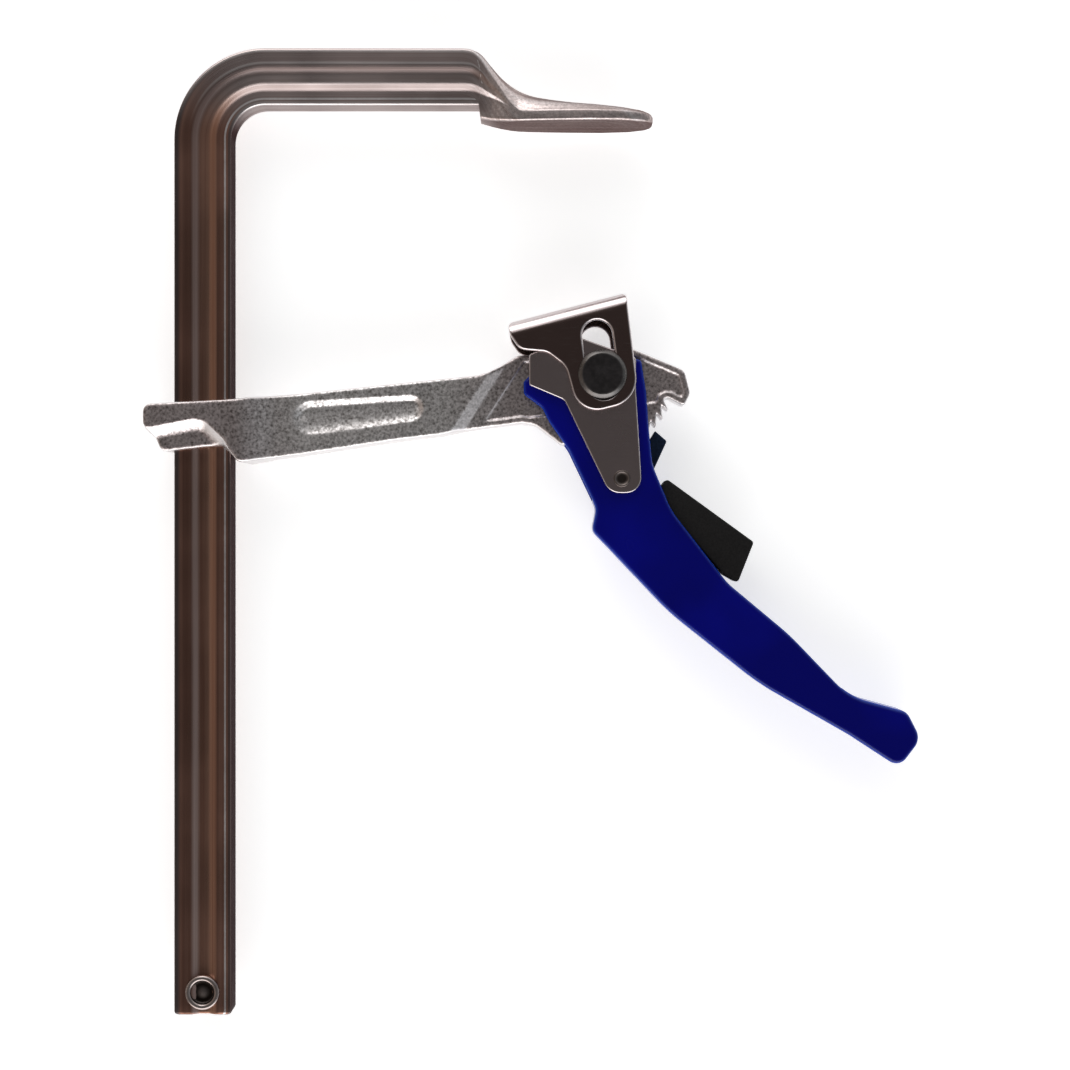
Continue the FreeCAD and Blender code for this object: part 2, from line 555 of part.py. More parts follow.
# Ratchet pawl: turns on the plate rivet; its nose hangs just clear of the teeth. Its frame is the
# rivet's. The first two corners are the nose, placed from the teeth.
pawl = new_body("ratchet_pawl")
pawl.setExpression("Placement.Base.x", "Sizes.pin_out + Sizes.rivet_out")
pawl.setExpression("Placement.Base.z", "-Sizes.pin_drop - Sizes.rivet_drop")
OUT, DOWN = size("rivet_out"), size("rivet_drop")
nose_radius = tip + size("pawl_lift")
HEEL_SHARE = 1.05
nose_at = (polar(nose_radius, NOSE_ANGLE), polar(nose_radius * HEEL_SHARE, HEEL_ANGLE))
nose = [(x - OUT, z + DOWN, 0) for x, z in nose_at]
PAWL_SHARES = [
    (0.020, 0.180, 4.0), (-0.150, 0.080, 4.5), (-0.125, -0.110, 4.5), (0.050, -0.170, 4.0),
    (0.925, -0.790, 1.0), (1.000, -0.670, 1.0), (0.310, -0.040, 5.0), (0.322, 0.100, 2.0),
    (0.446, 0.370, 0.8),
]
PAWL_LONG = size("rivet_drop")
pawl_sketch = new_sketch(pawl, "pawl_outline", "XZ_Plane")
pawl_corners = scaled(PAWL_SHARES, PAWL_LONG, PAWL_LONG, size("pawl_round"))
ring(pawl_sketch, nose + pawl_corners)
circle(pawl_sketch, 0, 0, size("rivet_wide") / 2 + size("pin_fit"))
pad(pawl, "pawl_plate", pawl_sketch, "Sizes.pawl_thick")
doc.recompute()

# Release trigger: moulded cap over the pawl's tail, standing out of the lever's channel
trigger = new_body("release_trigger")
trigger.setExpression("Placement.Base.x", "Sizes.pin_out + Sizes.rivet_out")
trigger.setExpression("Placement.Base.z", "-Sizes.pin_drop - Sizes.rivet_drop")
TRIGGER_SHARES = [
    (0.383, -0.071, 0.8), (0.441, 0.002, 1.2), (1.287, -0.612, 1.2), (1.130, -1.010, 1.2),
    (0.990, -0.930, 2.0), (0.400, -0.270, 3.0),
]
trigger_sketch = new_sketch(trigger, "trigger_outline", "XZ_Plane")
ring(trigger_sketch, scaled(TRIGGER_SHARES, PAWL_LONG, PAWL_LONG, size("pawl_round")))
pad(trigger, "trigger_cap", trigger_sketch, "Sizes.trigger_deep")
tail = new_sketch(trigger, "tail_outline", "XZ_Plane")
TAIL_SHARES = [
    (-0.150, -0.028, 0), (0.050, -0.170, 4.0), (0.925, -0.790, 1.0), (1.000, -0.670, 1.0),
    (0.310, -0.040, 5.0), (0.322, 0.100, 2.0),
]
ring(tail, scaled(TAIL_SHARES, PAWL_LONG, PAWL_LONG, size("pawl_round")))
pocket(trigger, "tail_socket", tail, "Sizes.pawl_thick + 2 * Sizes.trigger_fit")
doc.recompute()

# Pawl spring: torsion spring round the plate rivet, in the gap between the pawl and the lever's front
# cheek. One leg lies on the lever's web, the other pushes the trigger out. Its frame is the rivet's.
WEB_SHARE = 0.35
TRIGGER_SHARE = 0.70
SPRING_ARCS = 6
coil = size("spring_coil") / 2
wire = size("spring_wire") / 2
rest = wire + size("spring_fit")
inner, outer = size("pawl_thick") / 2, size("fork_gap") / 2
middle, spread = (inner + outer) / 2, (outer - inner) / 2 - rest


def beside(corners, first, share, distance):
    """Point at a share of the run that follows a corner, at a distance to the left of the run."""
    start, end = V(*corners[first][:2]), V(*corners[first + 1][:2])
    run = end - start
    left_hand = V(-run.y, run.x, 0)
    left_hand.normalize()
    return start + run * share + left_hand * distance


def touch_angle(point, side):
    """Angle of the place where a straight leg from the point meets the coil's circle."""
    return math.atan2(point.y, point.x) + side * math.acos(coil / point.Length)


def biarc(start, start_way, end, end_way):
    """Two arcs, tangent to each other, that leave the start and reach the end in the given directions."""
    step = end - start
    turn = 2 * (1 - start_way.dot(end_way))
    along_way = step.dot(start_way + end_way)
    arm_length = (math.sqrt(along_way ** 2 + turn * step.dot(step)) - along_way) / turn
    corners = (start + start_way * arm_length, end - end_way * arm_length)
    joint = (corners[0] + corners[1]) / 2
    arcs = []
    for first, corner, last in ((start, corners[0], joint), (joint, corners[1], end)):
        chord = (first + last) / 2
        half_turn = math.atan((corner - chord).Length / (last - first).Length * 2)
        crest = chord + (corner - chord) * (math.tan(half_turn / 2) / math.tan(half_turn))
        arcs.append(Part.Arc(first, crest, last).toShape())
    return arcs


channel_corners = [(x * WIDE - OUT, z * DROP + DOWN) for x, z, r in CHANNEL_SHARES]
web_end = beside(channel_corners, 4, WEB_SHARE, rest)
trigger_corners = [(x * PAWL_LONG, z * PAWL_LONG) for x, z, r in TRIGGER_SHARES]
trigger_end = beside(trigger_corners, 4, TRIGGER_SHARE, rest)
coil_start = touch_angle(web_end, -1)
coil_end = touch_angle(trigger_end, 1)
coil_turn = (coil_end - coil_start) % (2 * math.pi) - 4 * math.pi


def on_coil(share):
    """Point and direction of the wire at a share of the coil. It shifts across the clamp, level at both ends."""
    angle = coil_start + share * coil_turn
    whole = 2 * math.pi * share
    across = middle + spread * (1 - 2 * (share - math.sin(whole) / (2 * math.pi)))
    drift = -2 * spread * (1 - math.cos(whole)) / coil_turn
    way = V(coil * math.sin(angle), drift, -coil * math.cos(angle))
    way.normalize()
    return V(coil * math.cos(angle), -across, coil * math.sin(angle)), way


spring_path = []
spots = [on_coil(number / SPRING_ARCS) for number in range(SPRING_ARCS + 1)]
leg_start = V(web_end.x, spots[0][0].y, web_end.y)
leg_end = V(trigger_end.x, spots[-1][0].y, trigger_end.y)
spring_path.append(Part.LineSegment(leg_start, spots[0][0]).toShape())
for here, following in zip(spots, spots[1:]):
    spring_path += biarc(here[0], here[1], following[0], following[1])
spring_path.append(Part.LineSegment(spots[-1][0], leg_end).toShape())
leg_way = spots[0][0] - leg_start
wire_ring = Part.Wire(Part.Circle(leg_start, leg_way, wire).toShape())
spring = doc.addObject("Part::Feature", "pawl_spring")
spring.Label = "pawl_spring"
sweep = Part.BRepOffsetAPI.MakePipeShell(Part.Wire(spring_path))
sweep.add(wire_ring)
sweep.build()
sweep.makeSolid()
spring.Shape = sweep.shape()
spring.Placement = FreeCAD.Placement(V(size("pin_out") + OUT, 0, -size("pin_drop") - DOWN), FreeCAD.Rotation())
spring_long = sum(run.Length for run in spring_path)
print("pawl_spring volume share of its wire", round(spring.Shape.Volume / (math.pi * wire ** 2 * spring_long), 4))
steps = 60
places = [on_coil(number / steps)[0] for number in range(steps + 1)]
half_a_turn = steps * math.pi / abs(coil_turn)
turn_gaps = [here.distanceToPoint(there) for i, here in enumerate(places) for j, there in enumerate(places)
             if j - i > half_a_turn]
print("pawl_spring least gap between its turns", round(min(turn_gaps) - 2 * wire, 3))
doc.recompute()

# Every piece is checked, then written
doc.recompute()
for item in doc.Objects:
    if any(word in ("Invalid", "Error") for word in item.State):
        raise RuntimeError("%s: %s" % (item.Name, item.State))
pieces = [item for item in doc.Objects if item.isDerivedFrom("PartDesign::Body")] + [spring]
for piece in pieces:
    shape = piece.Shape
    if shape.isNull() or not shape.isValid() or len(shape.Solids) != 1:
        raise RuntimeError("%s is not one valid solid" % piece.Label)
os.makedirs("parts", exist_ok=True)
for piece in pieces:
    piece.Shape.exportStep("parts/%s.step" % piece.Label)
    print(piece.Label, round(piece.Shape.Volume), piece.Shape.BoundBox)
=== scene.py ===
"""Looks of the quick release bar clamp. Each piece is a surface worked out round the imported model."""

import math

import bpy
import numpy as np
from bpy.props import FloatProperty, FloatVectorProperty, PointerProperty
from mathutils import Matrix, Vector


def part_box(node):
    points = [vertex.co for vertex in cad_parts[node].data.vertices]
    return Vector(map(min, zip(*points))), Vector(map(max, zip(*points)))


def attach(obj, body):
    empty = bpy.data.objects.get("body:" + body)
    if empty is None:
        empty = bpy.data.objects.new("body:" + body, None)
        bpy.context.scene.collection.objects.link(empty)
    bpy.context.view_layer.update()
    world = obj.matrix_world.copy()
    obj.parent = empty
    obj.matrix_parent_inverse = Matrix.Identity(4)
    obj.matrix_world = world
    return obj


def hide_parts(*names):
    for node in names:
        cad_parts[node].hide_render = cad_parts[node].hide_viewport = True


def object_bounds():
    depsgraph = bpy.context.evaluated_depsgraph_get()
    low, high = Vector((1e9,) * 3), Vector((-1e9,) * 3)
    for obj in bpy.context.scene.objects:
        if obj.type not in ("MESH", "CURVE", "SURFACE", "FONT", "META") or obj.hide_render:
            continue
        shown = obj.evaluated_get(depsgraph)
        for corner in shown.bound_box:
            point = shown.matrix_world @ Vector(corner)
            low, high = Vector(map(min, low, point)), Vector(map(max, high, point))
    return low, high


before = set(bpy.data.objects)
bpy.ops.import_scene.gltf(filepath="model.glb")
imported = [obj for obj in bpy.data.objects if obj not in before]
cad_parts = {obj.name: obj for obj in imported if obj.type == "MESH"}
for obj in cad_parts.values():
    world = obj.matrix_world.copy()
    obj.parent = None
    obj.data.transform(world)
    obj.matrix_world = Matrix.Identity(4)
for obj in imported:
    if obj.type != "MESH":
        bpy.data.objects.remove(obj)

bl_info = {
    "name": "Bar clamp",
    "version": (1, 0, 0),
    "blender": (4, 5, 0),
    "location": "View3D > Sidebar > Bar clamp",
    "description": "Surfaces, finishes and stage of a quick release bar clamp",
    "category": "Add Mesh",
}

MM = 0.001
CAD_BOX = [list(corner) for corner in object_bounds()]


def round_node(node):
    """Middle (x, z), radius and half length of a round node that lies along Y."""
    low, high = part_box(node)
    return ((low.x + high.x) / 2, (low.z + high.z) / 2), (high.x - low.x) / 2, high.y


PIN, PIN_RADIUS, PIN_END = round_node("pivot_pin")
RIVET, RIVET_RADIUS, RIVET_END = round_node("plate_rivet")
FOOT, FOOT_RADIUS, FOOT_END = round_node("stop_rivet")
PIN_X, PIN_Z = PIN
RIVET_X, RIVET_Z = RIVET
RAIL_X = FOOT[0]
RAIL_LOW, RAIL_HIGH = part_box("rail")
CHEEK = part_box("pressure_shoe")[1].y
PIN_BORE, RIVET_BORE = 5.26 * MM, 2.56 * MM


# Properties


def length(name, value, note):
    return FloatProperty(
        name=name, description=note, default=value, min=0.0, subtype="DISTANCE", unit="LENGTH")


def colour(name, value, note):
    return FloatVectorProperty(
        name=name, description=note, default=value, min=0.0, max=1.0, size=3, subtype="COLOR")


class ClampSizes(bpy.types.PropertyGroup):
    cast_pitch: length("Casting pitch", 0.50 * MM, "Spacing of the points on the casting")
    fine_pitch: length("Fine pitch", 0.30 * MM, "Spacing of the points on the small pieces")
    coat_pitch: length("Lever pitch", 0.52 * MM, "Spacing of the points on the lever")
    collar_fillet: length("Collar fillet", 4.6 * MM, "Hollow slope between the collar and its lower ledge")
    panel_deep: length("Panel depth", 1.7 * MM, "Depth of the hollow panel on the beam")
    cast_edge: length("Casting edge", 1.1 * MM, "Rounding of the casting's edges")
    web_rim: length("Web rim", 2.2 * MM, "Raised rim round the web of the arm's head")
    web_deep: length("Web depth", 0.8 * MM, "Depth of the web below its rim")
    plate_edge: length("Cam plate edge", 0.55 * MM, "Rounding of the punched edge of the cam plates")
    shoe_fold: length("Shoe fold", 6.0 * MM, "Outer rounding of the fold below the clamping plate")
    shoe_edge: length("Shoe edge", 0.9 * MM, "Rounding of the punched edge of the pressure shoe")
    coat_edge: length("Coating edge", 1.6 * MM, "Rounding that the dipped coating gives the lever's lips")
    trigger_edge: length("Trigger edge", 0.7 * MM, "Rounding of the moulded trigger")


class ClampColours(bpy.types.PropertyGroup):
    # The bar and upper arm colours below are bands across the section. Besides the plated faces they hold
    # painted reflections on the groove's slopes and floor, and painted shade on the narrow sides and beside
    # the groove.
    bar_land: colour("Bar faces", (0.34, 0.19, 0.145), "Rail: flat faces beside the groove")
    bar_floor: colour("Bar groove", (0.34, 0.195, 0.145), "Rail: floor of the groove")
    bar_warm: colour("Bar warm slope", (0.5, 0.31, 0.23), "Rail: slope of the groove on the jaw's side")
    bar_cool: colour("Bar cool slope", (0.42, 0.31, 0.28), "Rail: other slope of the groove")
    bar_side: colour("Bar sides", (0.13, 0.115, 0.118), "Rail: narrow sides")
    arm_land: colour("Upper arm faces", (0.46, 0.385, 0.375), "Upper arm: flat faces beside the groove")
    arm_floor: colour("Upper arm groove", (0.5, 0.44, 0.43), "Upper arm: floor of the groove")
    arm_slope: colour("Upper arm slopes", (0.42, 0.35, 0.34), "Upper arm: slopes of the groove")
    leaf: colour("Jaw", (0.86, 0.78, 0.77), "Forged leaf of the fixed jaw")
    casting: colour("Casting", (0.95, 0.91, 0.90), "Plated casting of the arm")
    casting_pit: colour("Casting pits", (0.12, 0.108, 0.10), "Pits of the casting's skin")
    # Painted highlight colour for the surfaces of the casting that turn away from the front.
    slope: colour("Casting slopes", (0.70, 0.67, 0.67), "Slopes and edges of the casting")
    sheet: colour("Sheet", (0.15, 0.1, 0.09), "Dark plated sheet of the shoe")
    # Painted highlight colour on the folds and punched edges of the sheet.
    fold: colour("Sheet edges", (0.62, 0.56, 0.56), "Folds and punched edges of the sheet pieces")
    plate: colour("Cam plates", (0.36, 0.29, 0.285), "Sheet of the cam plates")
    # Bright edge is the colour of worn edges and scratches, and on the upper arm also of painted highlight
    # bands.
    bright: colour("Bright edge", (0.8, 0.76, 0.76), "Edges rubbed bright")
    pin: colour("Pin", (0.03, 0.026, 0.027), "Blackened pivot pin")
    blue: colour("Blue coating", (0.0003, 0.0012, 0.19), "Dipped coating of the lever")
    # Painted highlight: lighter blue on the lever's edges, where they turn away from the front.
    blue_edge_highlight: colour("Thin coating", (0.003, 0.035, 0.34), "Coating where it thins over an edge")
    pawl: colour("Pawl", (0.014, 0.026, 0.055), "Blackened ratchet pawl")
    trigger: colour("Trigger", (0.0125, 0.0115, 0.0115), "Moulded release trigger")
    rivet: colour("Rivet", (0.4, 0.34, 0.32), "Bright rivets")
    rivet_shade: colour("Rivet shade", (0.2, 0.16, 0.15), "Darker patches of the rivets")
    # Colour of the painted shade in a rivet's dish and over its rim.
    dish_shade_and_rim: colour("Dirt", (0.016, 0.012, 0.01), "Dirt in the dish of a rivet")
    chamfer: colour("Chamfer", (0.1, 0.093, 0.09), "Chamfer of the pin where it is rubbed grey")
    chamfer_light: colour("Light chamfer", (0.16, 0.15, 0.145), "Lighter patches of the pin's chamfer")
    wire: colour("Wire", (0.1, 0.09, 0.085), "Dark grain of the spring's wire")
    floor: colour("Floor", (0.8, 0.8, 0.8), "Sheet that the clamp lies on")


# Surfaces


def volume(mesh):
    """Signed volume: the sum of a . (b x c) / 6 over the triangles, positive where they face outwards."""
    mesh.calc_loop_triangles()
    points = np.zeros(len(mesh.vertices) * 3)
    mesh.vertices.foreach_get("co", points)
    triangles = np.zeros(len(mesh.loop_triangles) * 3, np.int64)
    mesh.loop_triangles.foreach_get("vertices", triangles)
    a, b, c = points.reshape(-1, 3)[triangles.reshape(-1, 3).T]
    return np.einsum("ij,ij->", a, np.cross(b, c)) / 6


def put(name, body, points, corners, counts, material, slot, replaced, sharp=None, layers=None):
    """One mesh from arrays: points, the corner list of all faces, and how many corners each face has."""
    mesh = bpy.data.meshes.new(name)
    mesh.vertices.add(len(points))
    mesh.vertices.foreach_set("co", np.asarray(points, np.float32).ravel())
    mesh.loops.add(len(corners))
    mesh.loops.foreach_set("vertex_index", np.asarray(corners, np.int32))
    mesh.polygons.add(len(counts))
    starts = np.concatenate([[0], np.cumsum(counts)[:-1]]).astype(np.int32)
    mesh.polygons.foreach_set("loop_start", starts)
    mesh.polygons.foreach_set("use_smooth", np.ones(len(counts), bool))
    mesh.update(calc_edges=True)
    if volume(mesh) < 0:
        mesh.flip_normals()
    for layer, values in (layers or {}).items():
        attribute = mesh.attributes.new(layer, "FLOAT", "POINT")
        attribute.data.foreach_set("value", np.asarray(values, np.float32).ravel())
    if sharp:
        mesh.set_sharp_from_angle(angle=math.radians(sharp))
    mesh.materials.append(material)
    piece = bpy.data.objects.new(name, mesh)
    bpy.context.scene.collection.objects.link(piece)
    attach(piece, body)
    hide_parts(*replaced)


def closed_tube(rings):
    """Corners and counts for rings of points, each ring closed, with a flat face over both ends.

    rings has the shape (rings, points, 3); the quad between neighbours i, j is
    (i, j), (i, j + 1), (i + 1, j + 1), (i + 1, j)."""
    number, around = rings.shape[:2]
    index = np.arange(number * around).reshape(number, around)
    ahead = np.roll(index, -1, axis=1)
    quads = np.stack([index[:-1], ahead[:-1], ahead[1:], index[1:]], axis=-1).reshape(-1)
    corners = np.concatenate([quads, index[0][::-1], index[-1]])
    counts = np.concatenate([np.full((number - 1) * around, 4), [around, around]])
    return corners, counts


# An arc takes at most this share of a run; it has more steps from the large radius on
ARC_SHARE, ARC_STEPS, LARGE_ARC, LARGE_STEPS = 0.49, 8, 6.0 * MM, 24


def ring(corners, wide, tall, unit, at, lean=0.0):
    """Closed outline of straight runs, whose corners (x, z, r) are replaced by arcs that touch both runs.

    x is a share of the width, z of the height and r of the rounding unit. The arc of a corner C with half its
    angle h starts r / tan h before C. The outline is turned by the lean and moved to its place."""
    corners = np.array(corners) * (wide, tall, unit)
    loop = []
    for here, before, after in zip(corners, np.roll(corners, 1, axis=0), np.roll(corners, -1, axis=0)):
        corner, radius = here[:2], here[2]
        back, ahead = before[:2] - corner, after[:2] - corner
        back_long, ahead_long = np.linalg.norm(back), np.linalg.norm(ahead)
        back, ahead = back / back_long, ahead / ahead_long
        if radius == 0:
            loop.append(corner[None])
            continue
        half = math.acos(np.clip(back @ ahead, -1, 1)) / 2
        reach = min(radius / math.tan(half), ARC_SHARE * back_long, ARC_SHARE * ahead_long)
        radius = reach * math.tan(half)
        middle = (back + ahead) / np.linalg.norm(back + ahead)
        centre = corner + middle * radius / math.sin(half)
        first, last = corner + back * reach - centre, corner + ahead * reach - centre
        start = math.atan2(first[1], first[0])
        sweep = math.atan2(first[0] * last[1] - first[1] * last[0], first @ last)
        angle = start + sweep * np.linspace(0, 1, ARC_STEPS if radius < LARGE_ARC else LARGE_STEPS)
        loop.append(centre + radius * np.stack([np.cos(angle), np.sin(angle)], axis=1))
    loop = np.concatenate(loop)
    x, z = loop.T
    return np.stack([at[0] + x * math.cos(lean) - z * math.sin(lean),
                     at[1] + x * math.sin(lean) + z * math.cos(lean)], axis=1)


# Steps of a grid below and above its box. The first isn't whole, so that flat faces lie between its points
GRID_BELOW, GRID_ABOVE = 3.37, 4


class Grid:
    def __init__(self, node, pitch):
        low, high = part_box(node)
        pitch = pitch * 1.0
        edges = [np.arange(l - GRID_BELOW * pitch, h + GRID_ABOVE * pitch, pitch) for l, h in zip(low, high)]
        self.pitch = pitch
        self.low = np.array([edge[0] for edge in edges])
        self.x = edges[0][:, None, None]
        self.y = edges[1][None, :, None]
        self.z = edges[2][None, None, :]

    def outline(self, *described):
        """Distance to a ring in the XZ plane, negative where a ray along X crosses it an odd number of
        times."""
        loop = ring(*described)
        x, z = self.x[:, :, 0], self.z[0]
        best = np.full((x.shape[0], z.shape[1]), 1.0)
        odd = np.zeros(best.shape, bool)
        for (x0, z0), (x1, z1) in zip(loop, np.roll(loop, -1, axis=0)):
            run, rise = x1 - x0, z1 - z0
            if run == 0 and rise == 0:
                continue
            share = np.clip(((x - x0) * run + (z - z0) * rise) / (run * run + rise * rise), 0, 1)
            best = np.minimum(best, (x - x0 - share * run) ** 2 + (z - z0 - share * rise) ** 2)
            if rise:
                odd ^= ((z0 > z) != (z1 > z)) & (x < x0 + (z - z0) * run / rise)
        return (np.where(odd, -1.0, 1.0) * np.sqrt(best))[:, None, :]

    def hole(self, centre, radius):
        return np.hypot(self.x - centre[0], self.z - centre[1]) - radius


def slab(flat, across, rounding):
    """Rounded extrusion: the distances past the outline and past the faces, joined by a quarter circle."""
    out, over = flat + rounding, across + rounding
    inside = np.minimum(np.maximum(out, over), 0)
    return inside + np.hypot(np.maximum(out, 0), np.maximum(over, 0)) - rounding


def merge(first, second, fillet):
    """Union with a fillet: the lesser distance, lowered by a quarter of the fillet where both are alike."""
    share = np.clip(0.5 + 0.5 * (second - first) / fillet, 0, 1)
    return second * (1 - share) + first * share - fillet * share * (1 - share)


def cut(first, second, rounding):
    """First without second, with a rounded lip."""
    return -merge(-first, second, rounding)


def ramp(value, start, end):
    """Straight ramp from 0 at the start to 1 at the end."""
    return np.clip((value - start) / (end - start), 0, 1)


def ease(value, start, end):
    """Smooth ramp, 3 t^2 - 2 t^3."""
    share = ramp(value, start, end)
    return share * share * (3 - 2 * share)


def skin(field, grid):
    """Closed surface where the field crosses zero.

    Each grid cell that the surface crosses gets one point, the mean of the places where its edges cross zero,
    and each crossed grid edge gets the quad of its four cells, turned to face the positive side."""
    cells = np.array(field.shape) - 1
    inside = field < 0
    spots, homes, crossed = [], [], []
    for axis in range(3):
        others = [a for a in range(3) if a != axis]
        near = tuple(slice(0, -1) if a == axis else slice(None) for a in range(3))
        far = tuple(slice(1, None) if a == axis else slice(None) for a in range(3))
        cross = inside[near] != inside[far]
        place = np.argwhere(cross)
        value, after = field[near][cross], field[far][cross]
        spot = place.astype(float)
        spot[:, axis] += value / (value - after)
        for first, second in ((1, 1), (0, 1), (0, 0), (1, 0)):
            cell = place.copy()
            cell[:, others[0]] -= first
            cell[:, others[1]] -= second
            homes.append((cell[:, 0] * cells[1] + cell[:, 1]) * cells[2] + cell[:, 2])
            spots.append(spot)
        crossed.append((inside[near][cross], axis, np.stack(homes[-4:], axis=1)))
    homes, spots = np.concatenate(homes), np.concatenate(spots)
    used, number, count = np.unique(homes, return_inverse=True, return_counts=True)
    points = np.stack([np.bincount(number, spots[:, axis]) for axis in range(3)], axis=1) / count[:, None]
    quads = []
    for inward, axis, quad in crossed:
        turn = inward ^ (axis == 1)
        quads.append(np.searchsorted(used, np.where(turn[:, None], quad, quad[:, ::-1])))
    quads = np.concatenate(quads)
    return grid.low + points * grid.pitch, quads.ravel(), np.full(len(quads), 4)


# Node groups and finishes


def feed(tree, node, values):
    """Set inputs of a node, each to a value or to another node's socket."""
    for name, value in values.items():
        if isinstance(value, bpy.types.NodeSocket):
            tree.links.new(value, node.inputs[name])
        else:
            node.inputs[name].default_value = value


def add(tree, kind, values=None, **settings):
    """A node with its settings and inputs."""
    made = tree.nodes.new(kind)
    for name, value in settings.items():
        setattr(made, name, value)
    feed(tree, made, values or {})
    return made


def mix(tree, factor, first, second, blend="MIX"):
    values = {0: factor, 6: first, 7: second}
    return add(tree, "ShaderNodeMix", values, data_type="RGBA", blend_type=blend).outputs[2]


def times(tree, base, tint):
    return mix(tree, 1.0, base, rgba(tint), "MULTIPLY")


def math_node(tree, operation, first, second=0.0):
    return add(tree, "ShaderNodeMath", {0: first, 1: second}, operation=operation).outputs[0]


def band(tree, value, low, high, to_low=0.0, to_high=1.0):
    values = {"Value": value, "From Min": low, "From Max": high, "To Min": to_low, "To Max": to_high}
    return add(tree, "ShaderNodeMapRange", values, clamp=True).outputs[0]


def noise(tree, vector, scale, detail, roughness=0.5):
    values = {"Vector": vector, "Scale": scale, "Detail": detail, "Roughness": roughness}
    return add(tree, "ShaderNodeTexNoise", values).outputs[0]


def object_place(tree):
    return add(tree, "ShaderNodeTexCoord").outputs["Object"]


def layer(tree, name):
    """One of the piece's own layers."""
    return add(tree, "ShaderNodeAttribute", attribute_name=name).outputs["Fac"]


def facing(tree):
    """How squarely the surface faces front or back: the size of the Y part of its own normal."""
    normal = add(tree, "ShaderNodeTexCoord").outputs["Normal"]
    return math_node(tree, "ABSOLUTE", add(tree, "ShaderNodeSeparateXYZ", {0: normal}).outputs["Y"])


def stripes(tree, value, stops):
    """Colours in stripes: the value runs from 0 to 1, and each stop is (place, colour)."""
    made = add(tree, "ShaderNodeValToRGB", {"Fac": value})
    while len(made.color_ramp.elements) < len(stops):
        made.color_ramp.elements.new(0.5)
    for element, (place, tint) in zip(made.color_ramp.elements, stops):
        element.position = place
        element.color = rgba(tint)
    return made.outputs["Color"]


def rgba(tint, share=1.0):
    return (*(share * part for part in tint), 1.0)


def group(name, inputs, outputs):
    """An empty shader group, and the sockets and node at its ends.

    An input is a number, or a colour if it has no default. An output is a number unless it's named Colour."""
    tree = bpy.data.node_groups.new(name, "ShaderNodeTree")
    for label, default in inputs.items():
        kind = "NodeSocketColor" if default is None else "NodeSocketFloat"
        socket = tree.interface.new_socket(label, in_out="INPUT", socket_type=kind)
        if default is not None:
            socket.default_value = default
    for label in outputs:
        kind = "NodeSocketColor" if label == "Colour" else "NodeSocketFloat"
        tree.interface.new_socket(label, in_out="OUTPUT", socket_type=kind)
    return tree, tree.nodes.new("NodeGroupInput").outputs, tree.nodes.new("NodeGroupOutput")


def use_group(tree, name, values):
    return add(tree, "ShaderNodeGroup", values, node_tree=bpy.data.node_groups[name]).outputs


def wear(tree, base, worn, start, end, broken):
    values = {"Colour": base, "Worn": worn, "Start": start, "End": end, "Break": broken}
    return use_group(tree, "edge_wear", values)["Colour"]


def make_groups():
    """Edge wear: the sharper the edge, the more of the worn colour, broken up by noise.
    Grain: the skin of a casting, pits from a noise and fine sparkle from cells.
    Smudge: handling marks, broad soft patches and short fine scratches.
    Lines: drawing lines, fine across the bar and very long along it, from the layers around and along."""
    tree, given, out = group(
        "edge_wear", {"Colour": None, "Worn": None, "Start": 0.52, "End": 0.58, "Break": 0.4}, ["Colour"])
    sharpness = add(tree, "ShaderNodeNewGeometry").outputs["Pointiness"]
    edge = band(tree, sharpness, given["Start"], given["End"])
    broken = math_node(tree, "MULTIPLY", given["Break"], noise(tree, object_place(tree), 400.0, 3.0))
    mask = add(tree, "ShaderNodeClamp", {"Value": math_node(tree, "SUBTRACT", edge, broken)}).outputs[0]
    feed(tree, out, {"Colour": mix(tree, mask, given["Colour"], given["Worn"])})

    tree, given, out = group("grain", {"Scale": 900.0, "Pits": 0.5}, ["Mask"])
    place = object_place(tree)
    pits = band(tree, noise(tree, place, given["Scale"], 4.0, 0.65), 0.38, 0.62)
    cells = add(tree, "ShaderNodeTexVoronoi", {"Vector": place, "Scale": given["Scale"]})
    speck = band(tree, cells.outputs["Distance"], 0.1, 0.8)
    feed(tree, out, {"Mask": add(tree, "ShaderNodeMix", {0: given["Pits"], 2: speck, 3: pits}).outputs[0]})

    tree, given, out = group("smudge", {"Scale": 40.0}, ["Patch", "Scratch"])
    place = object_place(tree)
    stretched = add(tree, "ShaderNodeMapping", {
        "Vector": place, "Rotation": (0.0, 0.6, 0.0), "Scale": (1.0, 1.0, 14.0)}).outputs[0]
    feed(tree, out, {
        "Patch": band(tree, noise(tree, place, given["Scale"], 3.0), 0.35, 0.65),
        "Scratch": band(tree, noise(tree, stretched, 160.0, 2.0), 0.60, 0.72)})

    tree, given, out = group("lines", {"Fine": 3000.0, "Long": 8.0}, ["Mask", "Broad"])
    around, along = layer(tree, "around"), layer(tree, "along")
    kinds = ("Mask", given["Fine"], given["Long"], 3.0), ("Broad", 420.0, 5.0, 2.0)
    for label, fine, long, detail in kinds:
        place = add(tree, "ShaderNodeCombineXYZ", {
            0: math_node(tree, "MULTIPLY", around, fine),
            1: math_node(tree, "MULTIPLY", along, long)}).outputs[0]
        feed(tree, out, {label: band(tree, noise(tree, place, 1.0, detail), 0.3, 0.7)})


def new_material(name, metallic=0.0):
    material = bpy.data.materials.new(name)
    material.use_nodes = True
    shader = material.node_tree.nodes["Principled BSDF"]
    shader.inputs["Metallic"].default_value = metallic
    return material, material.node_tree, shader


def bump(tree, height, strength, distance):
    values = {"Strength": strength, "Distance": distance, "Height": height}
    return add(tree, "ShaderNodeBump", values).outputs[0]


